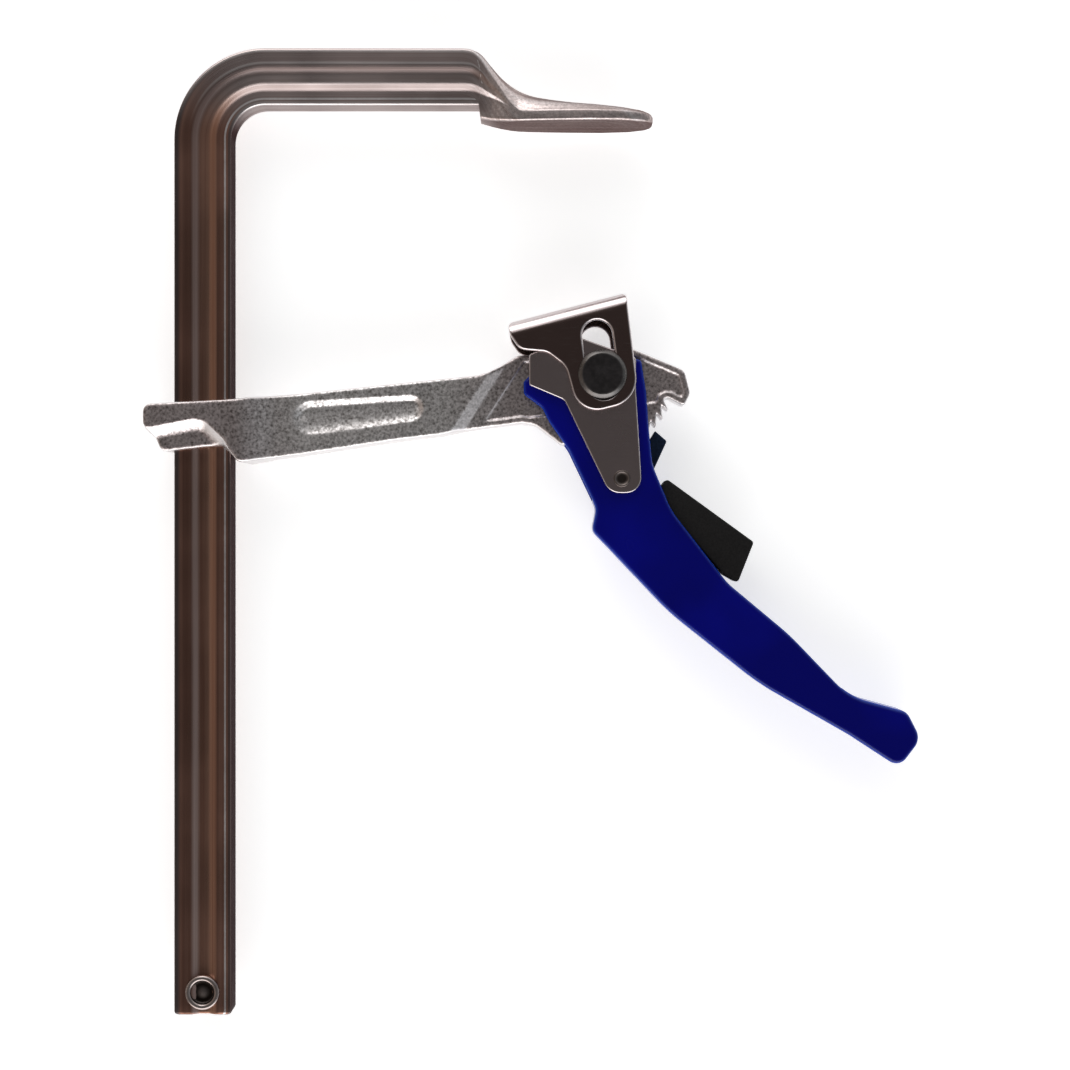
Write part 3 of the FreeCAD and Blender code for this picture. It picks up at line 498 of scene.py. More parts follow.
def bar_finish(colours):
    """Rail: plated steel with fine drawing lines and broad streaks, striped across lands, slopes and groove
    with painted reflections, painted highlights and painted shade, greyer on the upper arm than on the rail,
    and a grained leaf. It reads the piece's own layers across, arm and leaf."""
    material, tree, shader = new_material("bar_finish", 1.0)
    lines = use_group(tree, "lines", {"Fine": 2600.0, "Long": 7.0})
    smudge = use_group(tree, "smudge", {"Scale": 35.0})
    grain = use_group(tree, "grain", {"Scale": 1100.0, "Pits": 0.6})
    place = band(tree, layer(tree, "across"), -1, 1)
    land, floor, side, bright = colours.bar_land, colours.bar_floor, colours.bar_side, colours.bright
    warm, cool, shaded = colours.bar_warm, colours.bar_cool, tuple(0.70 * part for part in land)
    # Painted reflection and shade across the rail: the warm and cool slopes are painted reflections, and the
    # shaded bands (the land at 0.70) and the dark narrow sides are painted shade.
    rail = stripes(tree, place, [
        (0.0, side), (0.03, land), (0.20, land), (0.25, shaded), (0.31, warm), (0.38, warm), (0.48, floor),
        (0.58, floor), (0.64, cool), (0.70, cool), (0.75, shaded), (0.88, shaded), (0.93, land), (1.0, side)])
    land, floor, slope = colours.arm_land, colours.arm_floor, colours.arm_slope
    # Painted highlights across the upper arm: bright bands at its bottom edge, at the groove's upper lip and
    # at its top edge, with a lighter groove floor and darker slopes.
    upper = stripes(tree, place, [
        (0.0, bright), (0.03, land), (0.25, land), (0.30, floor), (0.44, floor), (0.60, slope), (0.74, slope),
        (0.775, bright), (0.81, land), (0.96, land), (1.0, bright)])
    leaf = layer(tree, "leaf")
    forged = mix(tree, grain["Mask"], rgba(colours.leaf, 0.55), rgba(colours.leaf))
    beneath = times(tree, forged, (0.58, 0.55, 0.55))
    forged = mix(tree, band(tree, place, 0.004, 0.0), forged, beneath)
    base = mix(tree, leaf, mix(tree, layer(tree, "arm"), rail, upper), forged)
    streaked = mix(tree, lines["Broad"], times(tree, base, (0.72, 0.66, 0.64)), base)
    deeper = times(tree, streaked, (0.55, 0.50, 0.48))
    fine = mix(tree, band(tree, lines["Mask"], 0, 1, 0.0, 0.55), streaked, deeper)
    height = add(tree, "ShaderNodeMix", {0: leaf, 2: lines["Mask"], 3: grain["Mask"]}).outputs[0]
    feed(tree, shader, {
        "Base Color": wear(tree, fine, rgba(bright), 0.53, 0.62, 0.5),
        "Roughness": math_node(tree, "ADD", band(tree, smudge["Patch"], 0, 1, 0.24, 0.36),
                               band(tree, lines["Mask"], 0, 1, 0.0, 0.08)),
        "Specular Tint": (0.26, 0.23, 0.23, 1.0),
        "Normal": bump(tree, height, 0.18, 0.06 * MM)})
    return material


def cast_finish(colours):
    """Arm: plated casting, pitted where it faces front or back, with a painted highlight that brightens its
    slopes and edges, and painted shade that darkens its flat faces towards both ends."""
    material, tree, shader = new_material("cast_finish", 0.9)
    grain = use_group(tree, "grain", {"Scale": 950.0, "Pits": 0.60})
    smudge = use_group(tree, "smudge", {"Scale": 45.0})
    # slope marks where the surface turns away from the front. There the pits are cleared and the colour
    # becomes a painted highlight.
    slope = band(tree, facing(tree), 0.87, 0.68)
    clean = math_node(tree, "MAXIMUM", grain["Mask"], math_node(tree, "MULTIPLY", slope, 0.8))
    base = mix(tree, clean, rgba(colours.casting_pit), rgba(colours.casting))
    # Painted shade: the flat faces get darker away from the middle of the beam, towards the collar and the
    # head.
    middle = (PIN_X - 0.58 * ARM_REACH, 0.0, PIN_Z - 0.4 * ARM_TALL)
    away = add(tree, "ShaderNodeVectorMath", {0: object_place(tree), 1: middle}, operation="DISTANCE")
    end_shade = math_node(tree, "MULTIPLY", band(tree, away.outputs["Value"], 28.0 * MM, 52.0 * MM),
                         band(tree, slope, 1.0, 0.0))
    base = mix(tree, end_shade, base, times(tree, base, (0.66, 0.60, 0.60)))
    base = mix(tree, slope, base, rgba(colours.slope))
    feed(tree, shader, {
        "Base Color": wear(tree, base, rgba(colours.slope), 0.52, 0.58, 0.35),
        "Roughness": math_node(tree, "ADD", band(tree, clean, 0, 1, 0.44, 0.27),
                               band(tree, smudge["Patch"], 0, 1, 0.0, 0.06)),
        "Normal": bump(tree, grain["Mask"], 0.3, 0.1 * MM)})
    return material


def sheet_finish(colours, name, tint):
    """Shoe and cam plates: smooth plated sheet with handling marks, and a painted highlight on folds and
    punched edges.
    """
    material, tree, shader = new_material(name, 1.0)
    smudge = use_group(tree, "smudge", {"Scale": 60.0})
    base = mix(tree, smudge["Patch"], rgba(tint), rgba(tint, 0.78))
    scratched = mix(tree, band(tree, smudge["Scratch"], 0, 1, 0.0, 0.05), base, rgba(colours.bright))
    feed(tree, shader, {
        # Painted highlight: the fold colour where the sheet turns away from the front.
        "Base Color": mix(tree, band(tree, facing(tree), 0.985, 0.90), scratched, rgba(colours.fold)),
        "Roughness": band(tree, smudge["Patch"], 0, 1, 0.18, 0.30),
        "Normal": bump(tree, smudge["Scratch"], 0.03, 0.02 * MM)})
    return material


def black_finish(name, tint, metallic, rough_low, rough_high, grain_scale):
    """Blackened steel or moulded plastic: a fine grain in colour, roughness and height."""
    material, tree, shader = new_material(name, metallic)
    grain = use_group(tree, "grain", {"Scale": grain_scale, "Pits": 0.7})
    smudge = use_group(tree, "smudge", {"Scale": 120.0})
    rubbed = tuple(min(1.0, 4 * part + 0.03) for part in tint)
    base = mix(tree, grain["Mask"], rgba(tint, 0.45), rgba(tint))
    feed(tree, shader, {
        "Base Color": wear(tree, base, rgba(rubbed), 0.53, 0.60, 0.5),
        "Roughness": band(tree, smudge["Patch"], 0, 1, rough_low, rough_high),
        "Specular IOR Level": 0.2,
        "Normal": bump(tree, grain["Mask"], 0.2, 0.06 * MM)})
    return material


def pin_finish(colours):
    """Pivot pin: blackened and softly mottled, its chamfer, marked by the turned piece's layer, rubbed grey.
    """
    material, tree, shader = new_material("pin_finish")
    grain = use_group(tree, "grain", {"Scale": 500.0, "Pits": 0.8})
    smudge = use_group(tree, "smudge", {"Scale": 160.0})
    rim = layer(tree, "dish_shade_and_rim")
    base = mix(tree, grain["Mask"], rgba(colours.pin, 0.5), rgba(colours.pin))
    rubbed = mix(tree, smudge["Patch"], rgba(colours.chamfer), rgba(colours.chamfer_light))
    feed(tree, shader, {
        "Base Color": mix(tree, rim, base, rubbed),
        "Roughness": math_node(tree, "SUBTRACT", band(tree, smudge["Patch"], 0, 1, 0.34, 0.50),
                               math_node(tree, "MULTIPLY", rim, 0.12)),
        "Metallic": band(tree, rim, 0, 1, 0.55, 1.0),
        "Normal": bump(tree, grain["Mask"], 0.25, 0.08 * MM)})
    return material


def coat_finish(colours):
    """Lever: glossy dipped coating with a faint orange peel, and a painted highlight in lighter blue on its
    edges.
    """
    material, tree, shader = new_material("coat_finish")
    place = object_place(tree)
    broad = noise(tree, place, 30.0, 2.0)
    deep = times(tree, rgba(colours.blue), (0.6, 0.6, 0.72))
    base = mix(tree, band(tree, broad, 0.35, 0.65), deep, rgba(colours.blue))
    feed(tree, shader, {
        # Painted highlight: the lighter blue where the surface turns away from the front.
        "Base Color": mix(tree, band(tree, facing(tree), 0.97, 0.55), base, rgba(colours.blue_edge_highlight)),
        "Roughness": band(tree, broad, 0.3, 0.7, 0.18, 0.28),
        "Coat Weight": 0.18, "Coat Roughness": 0.08, "Specular IOR Level": 0.10,
        "Normal": bump(tree, noise(tree, place, 260.0, 2.0), 0.06, 0.2 * MM)})
    return material


def rivet_finish(colours):
    """Rivets: bright metal, with painted shade that darkens the dish and rim where the layer marks them."""
    material, tree, shader = new_material("rivet_finish", 1.0)
    smudge = use_group(tree, "smudge", {"Scale": 300.0})
    dish_shade_and_rim = layer(tree, "dish_shade_and_rim")
    patch = band(tree, smudge["Patch"], 0, 1, 0.0, 0.4)
    base = mix(tree, patch, rgba(colours.rivet), rgba(colours.rivet_shade))
    feed(tree, shader, {
        # Painted shade: darker where the layer marks the dish and rim.
        "Base Color": mix(tree, dish_shade_and_rim, base, rgba(colours.dish_shade_and_rim)),
        "Roughness": band(tree, dish_shade_and_rim, 0, 1, 0.22, 0.55),
        "Normal": bump(tree, smudge["Patch"], 0.1, 0.05 * MM)})
    return material


def spring_finish(colours):
    """Pawl spring: drawn wire with a dull oiled surface."""
    material, tree, shader = new_material("spring_finish", 1.0)
    grain = noise(tree, object_place(tree), 1500.0, 2.0)
    feed(tree, shader, {
        "Base Color": mix(tree, grain, rgba(colours.wire), rgba(colours.rivet)),
        "Roughness": band(tree, grain, 0.3, 0.7, 0.25, 0.42),
        "Normal": bump(tree, grain, 0.1, 0.03 * MM)})
    return material


def floor_finish(colours):
    """Pale sheet: matt, seen a little brighter by the camera and in reflections, clear from behind."""
    material, tree, shader = new_material("floor_finish")
    path = add(tree, "ShaderNodeLightPath").outputs
    seen = math_node(tree, "MAXIMUM", path["Is Camera Ray"], path["Is Glossy Ray"])
    feed(tree, shader, {
        "Base Color": rgba(colours.floor), "Roughness": 0.9, "Specular IOR Level": 0.0,
        "Emission Color": (1.0, 1.0, 1.0, 1.0), "Emission Strength": math_node(tree, "MULTIPLY", seen, 0.60)})
    behind = add(tree, "ShaderNodeNewGeometry").outputs["Backfacing"]
    both = add(tree, "ShaderNodeMixShader", {
        0: math_node(tree, "MAXIMUM", behind, path["Is Shadow Ray"]), 1: shader.outputs[0],
        2: add(tree, "ShaderNodeBsdfTransparent").outputs[0]})
    feed(tree, tree.nodes["Material Output"], {"Surface": both.outputs[0]})
    return material


# Rail


BAR_WIDE = 21.0 * MM
BAR_DEEP = 10.5 * MM
BEND = 23.0 * MM
GROOVE_DEEP = 1.5 * MM
GROOVE_MOUTH, GROOVE_FLOOR = 0.53, 0.13
# Half sections from the bar into the jaw, in millimetres, heights above the clamping face. Columns: place
# along the clamp; height and half width of the underside; height and depth of the heel, where the front face
# begins; height and depth of the corner where it ends; height and depth of the ridge on the back; how much of
# the groove is left; how hollow the slope between corner and ridge is
JAW = np.array([
    (-41.0, 6.70, 5.25, 8.80, 5.25, 27.70, 5.25, 27.70, 2.60, 1.00, 0.00),
    (-37.5, 6.70, 5.25, 8.80, 5.25, 27.55, 5.25, 27.65, 2.70, 1.00, 0.00),
    (-34.5, 6.70, 5.25, 8.70, 5.25, 26.70, 5.25, 27.30, 2.80, 0.95, 0.00),
    (-32.6, 6.70, 5.25, 8.30, 5.30, 25.20, 5.35, 26.50, 2.80, 0.85, 0.00),
    (-31.9, 1.90, 4.80, 8.00, 5.35, 24.50, 5.40, 26.00, 2.80, 0.80, 0.05),
    (-28.0, 1.00, 5.90, 6.40, 5.90, 18.60, 6.10, 21.60, 2.70, 0.45, 0.25),
    (-24.5, 0.45, 7.20, 4.70, 7.10, 13.00, 7.10, 17.60, 2.60, 0.15, 0.45),
    (-21.0, 0.10, 8.30, 3.40, 8.20, 7.80, 8.10, 14.60, 2.60, 0.00, 0.60),
    (-18.0, 0.00, 8.95, 2.60, 8.90, 4.70, 8.80, 12.70, 2.60, 0.00, 0.80),
    (-14.5, 0.00, 9.50, 2.30, 9.50, 4.00, 9.40, 11.20, 2.60, 0.00, 0.90),
    (-6.3, 0.00, 10.20, 2.20, 10.20, 3.90, 10.10, 9.50, 2.45, 0.00, 0.90),
    (0.0, 0.00, 10.56, 2.20, 10.60, 3.90, 10.50, 8.70, 2.40, 0.00, 0.85),
    (13.2, 0.00, 10.95, 2.10, 10.98, 3.80, 10.80, 7.30, 2.20, 0.00, 0.70),
    (23.3, 0.00, 9.60, 2.00, 9.70, 3.50, 9.50, 5.80, 2.20, 0.00, 0.50),
    (29.0, 0.10, 7.00, 1.80, 7.20, 3.10, 7.00, 4.50, 2.10, 0.00, 0.30),
    (30.8, 0.30, 5.10, 1.70, 5.30, 2.80, 5.10, 3.70, 1.90, 0.00, 0.10),
    (31.5, 0.60, 3.50, 1.50, 3.60, 2.30, 3.50, 2.90, 1.50, 0.00, 0.00),
])
# Points on the half section's straight runs, underside, edge, front face, slope and ridge, and on a corner
RUNS, CORNER_POINTS = (8, 5, 46, 12, 5), 7
# The foot's chamfer, as (height above the end, how far the outline is drawn in)
FOOT_CHAMFER = np.array([(0.0, 0.9), (0.35, 0.28), (1.0, 0.0)]) * MM
BAR_RINGS, BEND_RINGS, ARM_RINGS = 90, 40, 30
LEAF_START, LEAF_END = -34.0, -24.0


def flowing(wanted, places, values):
    """Smooth curve through the values: Hermite pieces with the mean slope of the neighbours at each place."""
    slope = np.gradient(values, places)
    i = np.clip(np.searchsorted(places, wanted) - 1, 0, len(places) - 2)
    span = places[i + 1] - places[i]
    t = np.clip((wanted - places[i]) / span, 0, 1)
    return ((2 * t ** 3 - 3 * t ** 2 + 1) * values[i] + (t ** 3 - 2 * t ** 2 + t) * span * slope[i]
            + (3 * t ** 2 - 2 * t ** 3) * values[i + 1] + (t ** 3 - t ** 2) * span * slope[i + 1])


def half_sections(points, groove, hollow, radii):
    """Half sections (rings, points, 2) as (height, depth), and the share of the front face at each point.

    Straight runs go from the middle of the underside over its edge, the heel, the corner and the ridge to the
    middle of the ridge. Each corner C is replaced by (1 - t)^2 A + 2 t (1 - t) C + t^2 B. The groove is taken
    from the depth of the front face, and the slope above it is bent inwards by hollow * 4 t (1 - t)."""
    under, wide, heel_up, heel_out, corner_up, corner_out, ridge_up, ridge_out = points
    corners = np.stack([
        np.stack([under, 0 * under], 1), np.stack([under, wide], 1), np.stack([heel_up, heel_out], 1),
        np.stack([corner_up, corner_out], 1), np.stack([ridge_up, ridge_out], 1),
        np.stack([ridge_up, 0 * under], 1)], axis=1)
    way = np.diff(corners, axis=1)
    long = np.linalg.norm(way, axis=2)
    way = way / np.maximum(long, 1e-6)[..., None]
    ends = (-1.0, -1.0, -0.8, 1.0, 1.0, 1.0)
    last = len(RUNS) - 1
    parts, shares = [], []
    start = corners[:, 0]
    curve = np.linspace(0, 1, CORNER_POINTS)[None, :, None]
    for run, number in enumerate(RUNS):
        if run < last:
            reach = np.minimum(radii[run], 0.45 * np.minimum(long[:, run], long[:, run + 1]))[:, None]
            end = corners[:, run + 1] - way[:, run] * reach
        else:
            end = corners[:, run + 1]
        t = np.linspace(0, 1, number + 2)[None, 1:-1, None]
        if run == 0:
            t = np.linspace(0, 1, number + 1)[None, :-1, None]
        if run == last:
            t = np.linspace(0, 1, number + 1)[None, 1:, None]
        piece = start[:, None] * (1 - t) + end[:, None] * t
        share = np.broadcast_to(ends[run] + (ends[run + 1] - ends[run]) * t[..., 0], piece.shape[:2])
        if run == 2:
            inside = ease(np.abs(share), GROOVE_MOUTH, GROOVE_FLOOR)
            piece[..., 1] -= GROOVE_DEEP * groove[:, None] * inside
        if run == 3:
            side = np.stack([-way[:, 3, 1], way[:, 3, 0]], axis=1)
            piece += side[:, None] * (hollow[:, None, None] * 4 * t * (1 - t))
        parts.append(piece)
        shares.append(share)
        if run < last:
            after = corners[:, run + 1] + way[:, run + 1] * reach
            middle = corners[:, None, run + 1]
            bent = ((1 - curve) ** 2 * end[:, None] + 2 * curve * (1 - curve) * middle
                    + curve ** 2 * after[:, None])
            parts.append(bent)
            begins = np.linspace(0, 0.02, bent.shape[1]) if run == 0 else 0.0
            shares.append(np.full(bent.shape[:2], ends[run + 1]) + begins)
            start = after
    return np.concatenate(parts, axis=1), np.concatenate(shares, axis=1)


def rail_surface():
    """Points (rings, around, 3) of the rail, and its layers.

    The bar's section is carried up from the foot, round the bend and along the arm: a point is centre +
    height * outward + depth * Y. Along the jaw the section follows the JAW rows."""
    top = RAIL_HIGH.z
    middle = top - BAR_WIDE / 2
    straight = np.linspace(RAIL_LOW.z, middle - BEND, BAR_RINGS)
    straight = np.concatenate([straight[0] + FOOT_CHAMFER[:, 0], straight[1:]])
    angle = np.linspace(0, math.pi / 2, BEND_RINGS)[1:-1]
    arm = np.linspace(RAIL_X + BEND, JAW[0, 0] * MM, ARM_RINGS)
    jaw = np.concatenate([
        np.arange(JAW[0, 0], -33.0, 0.5), np.arange(-33.0, -31.5, 0.1), np.arange(-31.5, 29, 0.5),
        np.linspace(29, 31.5, 16)])[1:] * MM
    x = np.concatenate([0 * straight + RAIL_X, RAIL_X + BEND * (1 - np.cos(angle)), arm, jaw])
    z = np.concatenate([straight, middle - BEND + BEND * np.sin(angle), 0 * arm + middle, 0 * jaw + middle])
    way = np.concatenate([0 * straight, angle, np.full(len(arm) + len(jaw), math.pi / 2)])
    wanted = np.where(way > 1.5, np.clip(x / MM, JAW[0, 0], JAW[-1, 0]), JAW[0, 0])
    table = [flowing(wanted, JAW[:, 0], JAW[:, column]) for column in range(1, 11)]
    table[0] = np.interp(wanted, JAW[:, 0], JAW[:, 1])
    table[1] = np.interp(wanted, JAW[:, 0], JAW[:, 2])
    points = [value * MM - (middle if place % 2 == 0 else 0.0) for place, value in enumerate(table[:8])]
    leaf = ease(wanted, LEAF_START, LEAF_END)
    radii = [(1.4 + 0.2 * leaf) * MM, 1.5 * leaf * MM, (2.2 - 1.3 * leaf) * MM, (0.3 + 1.6 * leaf) * MM]
    half, share = half_sections(points, np.clip(table[8], 0, 1), table[9] * MM, radii)
    foot = np.ones(len(x))
    foot[:len(FOOT_CHAMFER)] = 1 - FOOT_CHAMFER[:, 1] / (BAR_WIDE / 2)
    half = half * foot[:, None, None]
    out = np.stack([-np.cos(way), np.sin(way)], axis=1)
    high, deep = half[..., 0], half[..., 1]
    rings = np.stack([x[:, None] + out[:, :1] * high, deep, z[:, None] + out[:, 1:] * high], axis=-1)
    rings = np.concatenate([rings, rings[:, -2:0:-1] * (1, -1, 1)], axis=1)
    share = np.concatenate([share, share[:, -2:0:-1]], axis=1)
    run = np.concatenate([[0], np.cumsum(np.hypot(np.diff(x), np.diff(z)))])
    length_round = np.cumsum(np.linalg.norm(np.diff(rings, axis=1, append=rings[:, :1]), axis=2), axis=1)
    ones = np.ones(share.shape)
    layers = {
        "along": (ones * run[:, None]).ravel(),
        "around": length_round.ravel(),
        "across": share.ravel(),
        "arm": (ones * ease(way, 0.1, 1.3)[:, None]).ravel(),
        "leaf": (ones * leaf[:, None]).ravel(),
    }
    return rings, layers


class CLAMP_OT_rail(bpy.types.Operator):
    """Make the rail with its bend and the forged fixed jaw"""

    bl_idname = "clamp.rail"
    bl_label = "Rail"

    def execute(self, context):
        rings, layers = rail_surface()
        put("rail_forged", "frame", rings.reshape(-1, 3), *closed_tube(rings),
            bar_finish(context.scene.clamp_colours), "forged_steel", ["rail"], sharp=55, layers=layers)
        return {"FINISHED"}


# Pins and rivets


SIDES = 96
# Radius of the flat at the middle of a turned end, and the least step between two rings on a shoulder
AXIS, STEP = 0.2 * MM, 0.02 * MM


def put_turned(name, body, half, dish_shade_and_rim, centre, material, slot, replaced):
    """A turned piece that is alike at both ends, from its front half and a layer that marks painted shade on
    the rivets and the rubbed chamfer of the pin.

    Each point (radius, place along Y) is turned about the centre: x = cx + r cos a, z = cz + r sin a."""
    half, dish_shade_and_rim = np.array(half), np.array(dish_shade_and_rim, float)
    profile, dish_shade_and_rim = np.concatenate([half, half[::-1] * (1, -1)]), np.concatenate([dish_shade_and_rim, dish_shade_and_rim[::-1]])
    angle = np.linspace(0, 2 * math.pi, SIDES, endpoint=False)
    radius, along = profile[:, 0, None], profile[:, 1, None]
    rings = np.stack([
        centre[0] + radius * np.cos(angle), along + 0 * angle, centre[1] + radius * np.sin(angle)], axis=-1)
    put(name, body, rings.reshape(-1, 3), *closed_tube(rings), material, slot, replaced, sharp=40,
        layers={"dish_shade_and_rim": np.repeat(dish_shade_and_rim, SIDES)})


def arc(centre_radius, centre_y, radius, start, end, steps):
    """Points of an arc in a profile: (cr + r cos a, cy + r sin a), angles in degrees."""
    angle = np.radians(np.linspace(start, end, steps))
    return np.stack([centre_radius + radius * np.cos(angle), centre_y + radius * np.sin(angle)], axis=1)


class CLAMP_OT_stop_rivet(bpy.types.Operator):
    """Make the dished rivet across the foot of the rail"""

    bl_idname = "clamp.stop_rivet"
    bl_label = "Stop rivet"

    def execute(self, context):
        radius, proud, wall, sunk = FOOT_RADIUS, FOOT_END, 1.1 * MM, 1.2 * MM
        lip = arc(radius - wall, -proud + wall, wall, -180, 0, 13)
        dish = [(AXIS, -proud + 1.35 * MM), (1.8 * MM, -proud + 1.55 * MM), (2.7 * MM, -proud + 1.9 * MM),
                (radius - 2.5 * wall, -proud + 1.85 * MM), (radius - 2.05 * wall, -proud + 1.4 * MM)]
        half = np.concatenate([dish, lip, [(radius, -BAR_DEEP / 2 + sunk)]])
        # Painted shade in the rivet's dish.
        dish_shade_and_rim = [0.5, 0.9, 1, 1, 0.7] + [0] * (len(half) - 5)
        put_turned("stop_rivet_dished", "frame", half, dish_shade_and_rim, FOOT, rivet_finish(context.scene.clamp_colours),
                   "rivet_steel", ["stop_rivet"])
        return {"FINISHED"}


class CLAMP_OT_pivot_pin(bpy.types.Operator):
    """Make the blackened pivot pin with a flat chamfered head outside each cheek of the shoe"""

    bl_idname = "clamp.pivot_pin"
    bl_label = "Pivot pin"

    def execute(self, context):
        radius, end = PIN_RADIUS, PIN_END
        bevel, soft, under, shank = 1.45 * MM, 0.25 * MM, CHEEK + 0.1 * MM, 5.2 * MM
        half = [
            (AXIS, -end), (0.5 * (radius - bevel), -end), (radius - bevel - 2 * soft, -end),
            (radius - bevel - 0.2 * soft, -end + 0.1 * soft),
            (radius - bevel + 0.6 * soft, -end + 0.5 * soft),
            (radius - 0.7 * soft, -end + bevel - 1.2 * soft),
            (radius - 0.15 * soft, -end + bevel - 0.4 * soft),
            (radius, min(-end + bevel, -under - STEP)), (radius, -under), (shank, -under + STEP),
        ]
        rim = [0, 0, 0, 0.5, 1, 1, 0.6, 0, 0, 0]
        put_turned("pivot_pin_black", "pin", half, rim, PIN, pin_finish(context.scene.clamp_colours),
                   "black_steel", ["pivot_pin"])
        return {"FINISHED"}


class CLAMP_OT_plate_rivet(bpy.types.Operator):
    """Make the rivet that holds the cam plates, its head upset in a ring"""

    bl_idname = "clamp.plate_rivet"
    bl_label = "Plate rivet"

    def execute(self, context):
        head, crown = RIVET_RADIUS, RIVET_END
        shank, under = 2.5 * MM, 9.55 * MM
        half = [
            (AXIS, -crown + 0.60 * MM), (1.4 * MM, -crown + 0.56 * MM), (2.0 * MM, -crown + 0.40 * MM),
            (2.4 * MM, -crown + 0.06 * MM), (2.6 * MM, -crown), (2.8 * MM, -crown + 0.05 * MM),
            (head - 0.2 * MM, -crown + 0.3 * MM), (head, -under), (shank, -under + STEP),
        ]
        # Painted shade over the rivet's head, most of it in its dish.
        dish_shade_and_rim = [0.95, 0.95, 0.8, 0.45, 0.5, 0.6, 0.6, 0.7, 1]
        put_turned("plate_rivet_upset", "lever", half, dish_shade_and_rim, RIVET, rivet_finish(context.scene.clamp_colours),
                   "rivet_steel", ["plate_rivet"])
        return {"FINISHED"}


# Sliding arm. Outlines are shares of the reach from the pin to the rail's middle and of the collar's height


ARM_REACH = PIN_X - RAIL_X
ARM_TALL = 28.0 * MM
CAST_UNIT = 1.2 * MM
COLLAR = [
    (-1.139, -0.385, 2.5), (-1.139, -0.690, 1.5), (-1.112, -0.680, 1.0), (-1.015, -0.580, 6.0),
    (-0.985, -0.600, 6.0), (-0.935, -0.850, 4.0), (-0.905, -1.155, 2.5), (-0.790, -1.058, 1.0),
    (-0.790, -0.270, 1.0), (-0.935, -0.330, 4.0),
]
LEDGE = [
    (-1.136, -0.420, 2.0), (-1.136, -0.700, 2.5), (-1.112, -0.830, 1.5), (-1.098, -1.005, 2.5),
    (-0.990, -0.940, 2.0), (-0.945, -0.925, 2.0), (-0.900, -1.130, 2.0), (-0.868, -1.110, 1.0),
    (-0.868, -0.300, 1.0), (-0.935, -0.340, 4.0),
]
BEAM = [
    (-0.890, -0.300, 1.0), (-0.905, -1.140, 2.5), (-0.755, -1.043, 8.0), (-0.505, -0.846, 8.0),
    (-0.384, -0.768, 4.0), (-0.282, 0.055, 4.0), (-0.310, 0.000, 6.0), (-0.504, -0.104, 8.0),
    (-0.753, -0.243, 8.0),
]
HEAD_TOP = [
    (-0.400, -0.775, 1.0), (-0.345, -0.060, 1.0), (-0.300, 0.000, 3.0), (-0.256, 0.120, 4.0),
    (-0.212, 0.268, 5.0), (-0.100, 0.300, 10.0), (0.034, 0.305, 2.0), (0.080, 0.355, 2.0),
    (0.208, 0.075, 3.0), (0.223, -0.230, 3.0), (0.206, -0.400, 1.0), (0.165, -0.285, 1.5),
]
HEAD_BOTTOM = [(-0.100, -0.915, 1.0), (-0.166, -0.650, 5.0), (-0.200, -0.620, 3.0), (-0.317, -0.700, 5.0)]
TOOTH_TIP, TOOTH_ROOT = 27.8 * MM, 24.4 * MM
TOOTH_PITCH, TOOTH_COUNT, TOOTH_FIRST, TOOTH_BACK = 8.1, 11, -27.8, 1.4


def polar(radius, degrees):
    return radius * math.cos(math.radians(degrees)), radius * math.sin(math.radians(degrees))


def head_corners():
    """Corners of the arm's head in metres from the pin: web, hook, then the ratchet's teeth on a circle."""
    size = (ARM_REACH, ARM_TALL, CAST_UNIT)
    corners = [tuple(np.multiply(corner, size)) for corner in HEAD_TOP]
    corners.append((*polar(TOOTH_ROOT, TOOTH_FIRST + TOOTH_PITCH - TOOTH_BACK), 0.0))
    for index in range(TOOTH_COUNT):
        crest = TOOTH_FIRST - index * TOOTH_PITCH
        corners.append((*polar(TOOTH_TIP, crest), 0.0))
        corners.append((*polar(TOOTH_ROOT, crest + TOOTH_BACK), 0.0))
    corners.append((*polar(TOOTH_TIP, TOOTH_FIRST - TOOTH_COUNT * TOOTH_PITCH), CAST_UNIT))
    return corners + [tuple(np.multiply(corner, size)) for corner in HEAD_BOTTOM]


COLLAR_HALF, LEDGE_HALF, BEAM_HALF, HEAD_HALF = 13.0 * MM, 9.2 * MM, 8.0 * MM, 5.0 * MM
BEVEL_PLACE, BEVEL_WIDE, BEVEL_ACROSS, BEVEL_DOWN = (-0.384, -0.768), 4.2 * MM, 0.839, 0.544
STEM_START, STEM_END, WINDOW_GAP = -120.5 * MM, -106.0 * MM, 0.35 * MM
PANEL_PLACE, PANEL_LEAN = (-0.601, -0.496), math.radians(5.6)
PANEL_LONG, PANEL_WIDE, PANEL_TAPER = 18.2 * MM, 5.7 * MM, 0.04
PANEL_FLOOR, PANEL_SHALLOW, COLLAR_POWER = 0.58, 0.85, 1.4
WEB_LOW, WEB_RISE, WEB_WALL, WEB_PAST = 13.9 * MM, 0.12, 0.5 * MM, 8.4 * MM


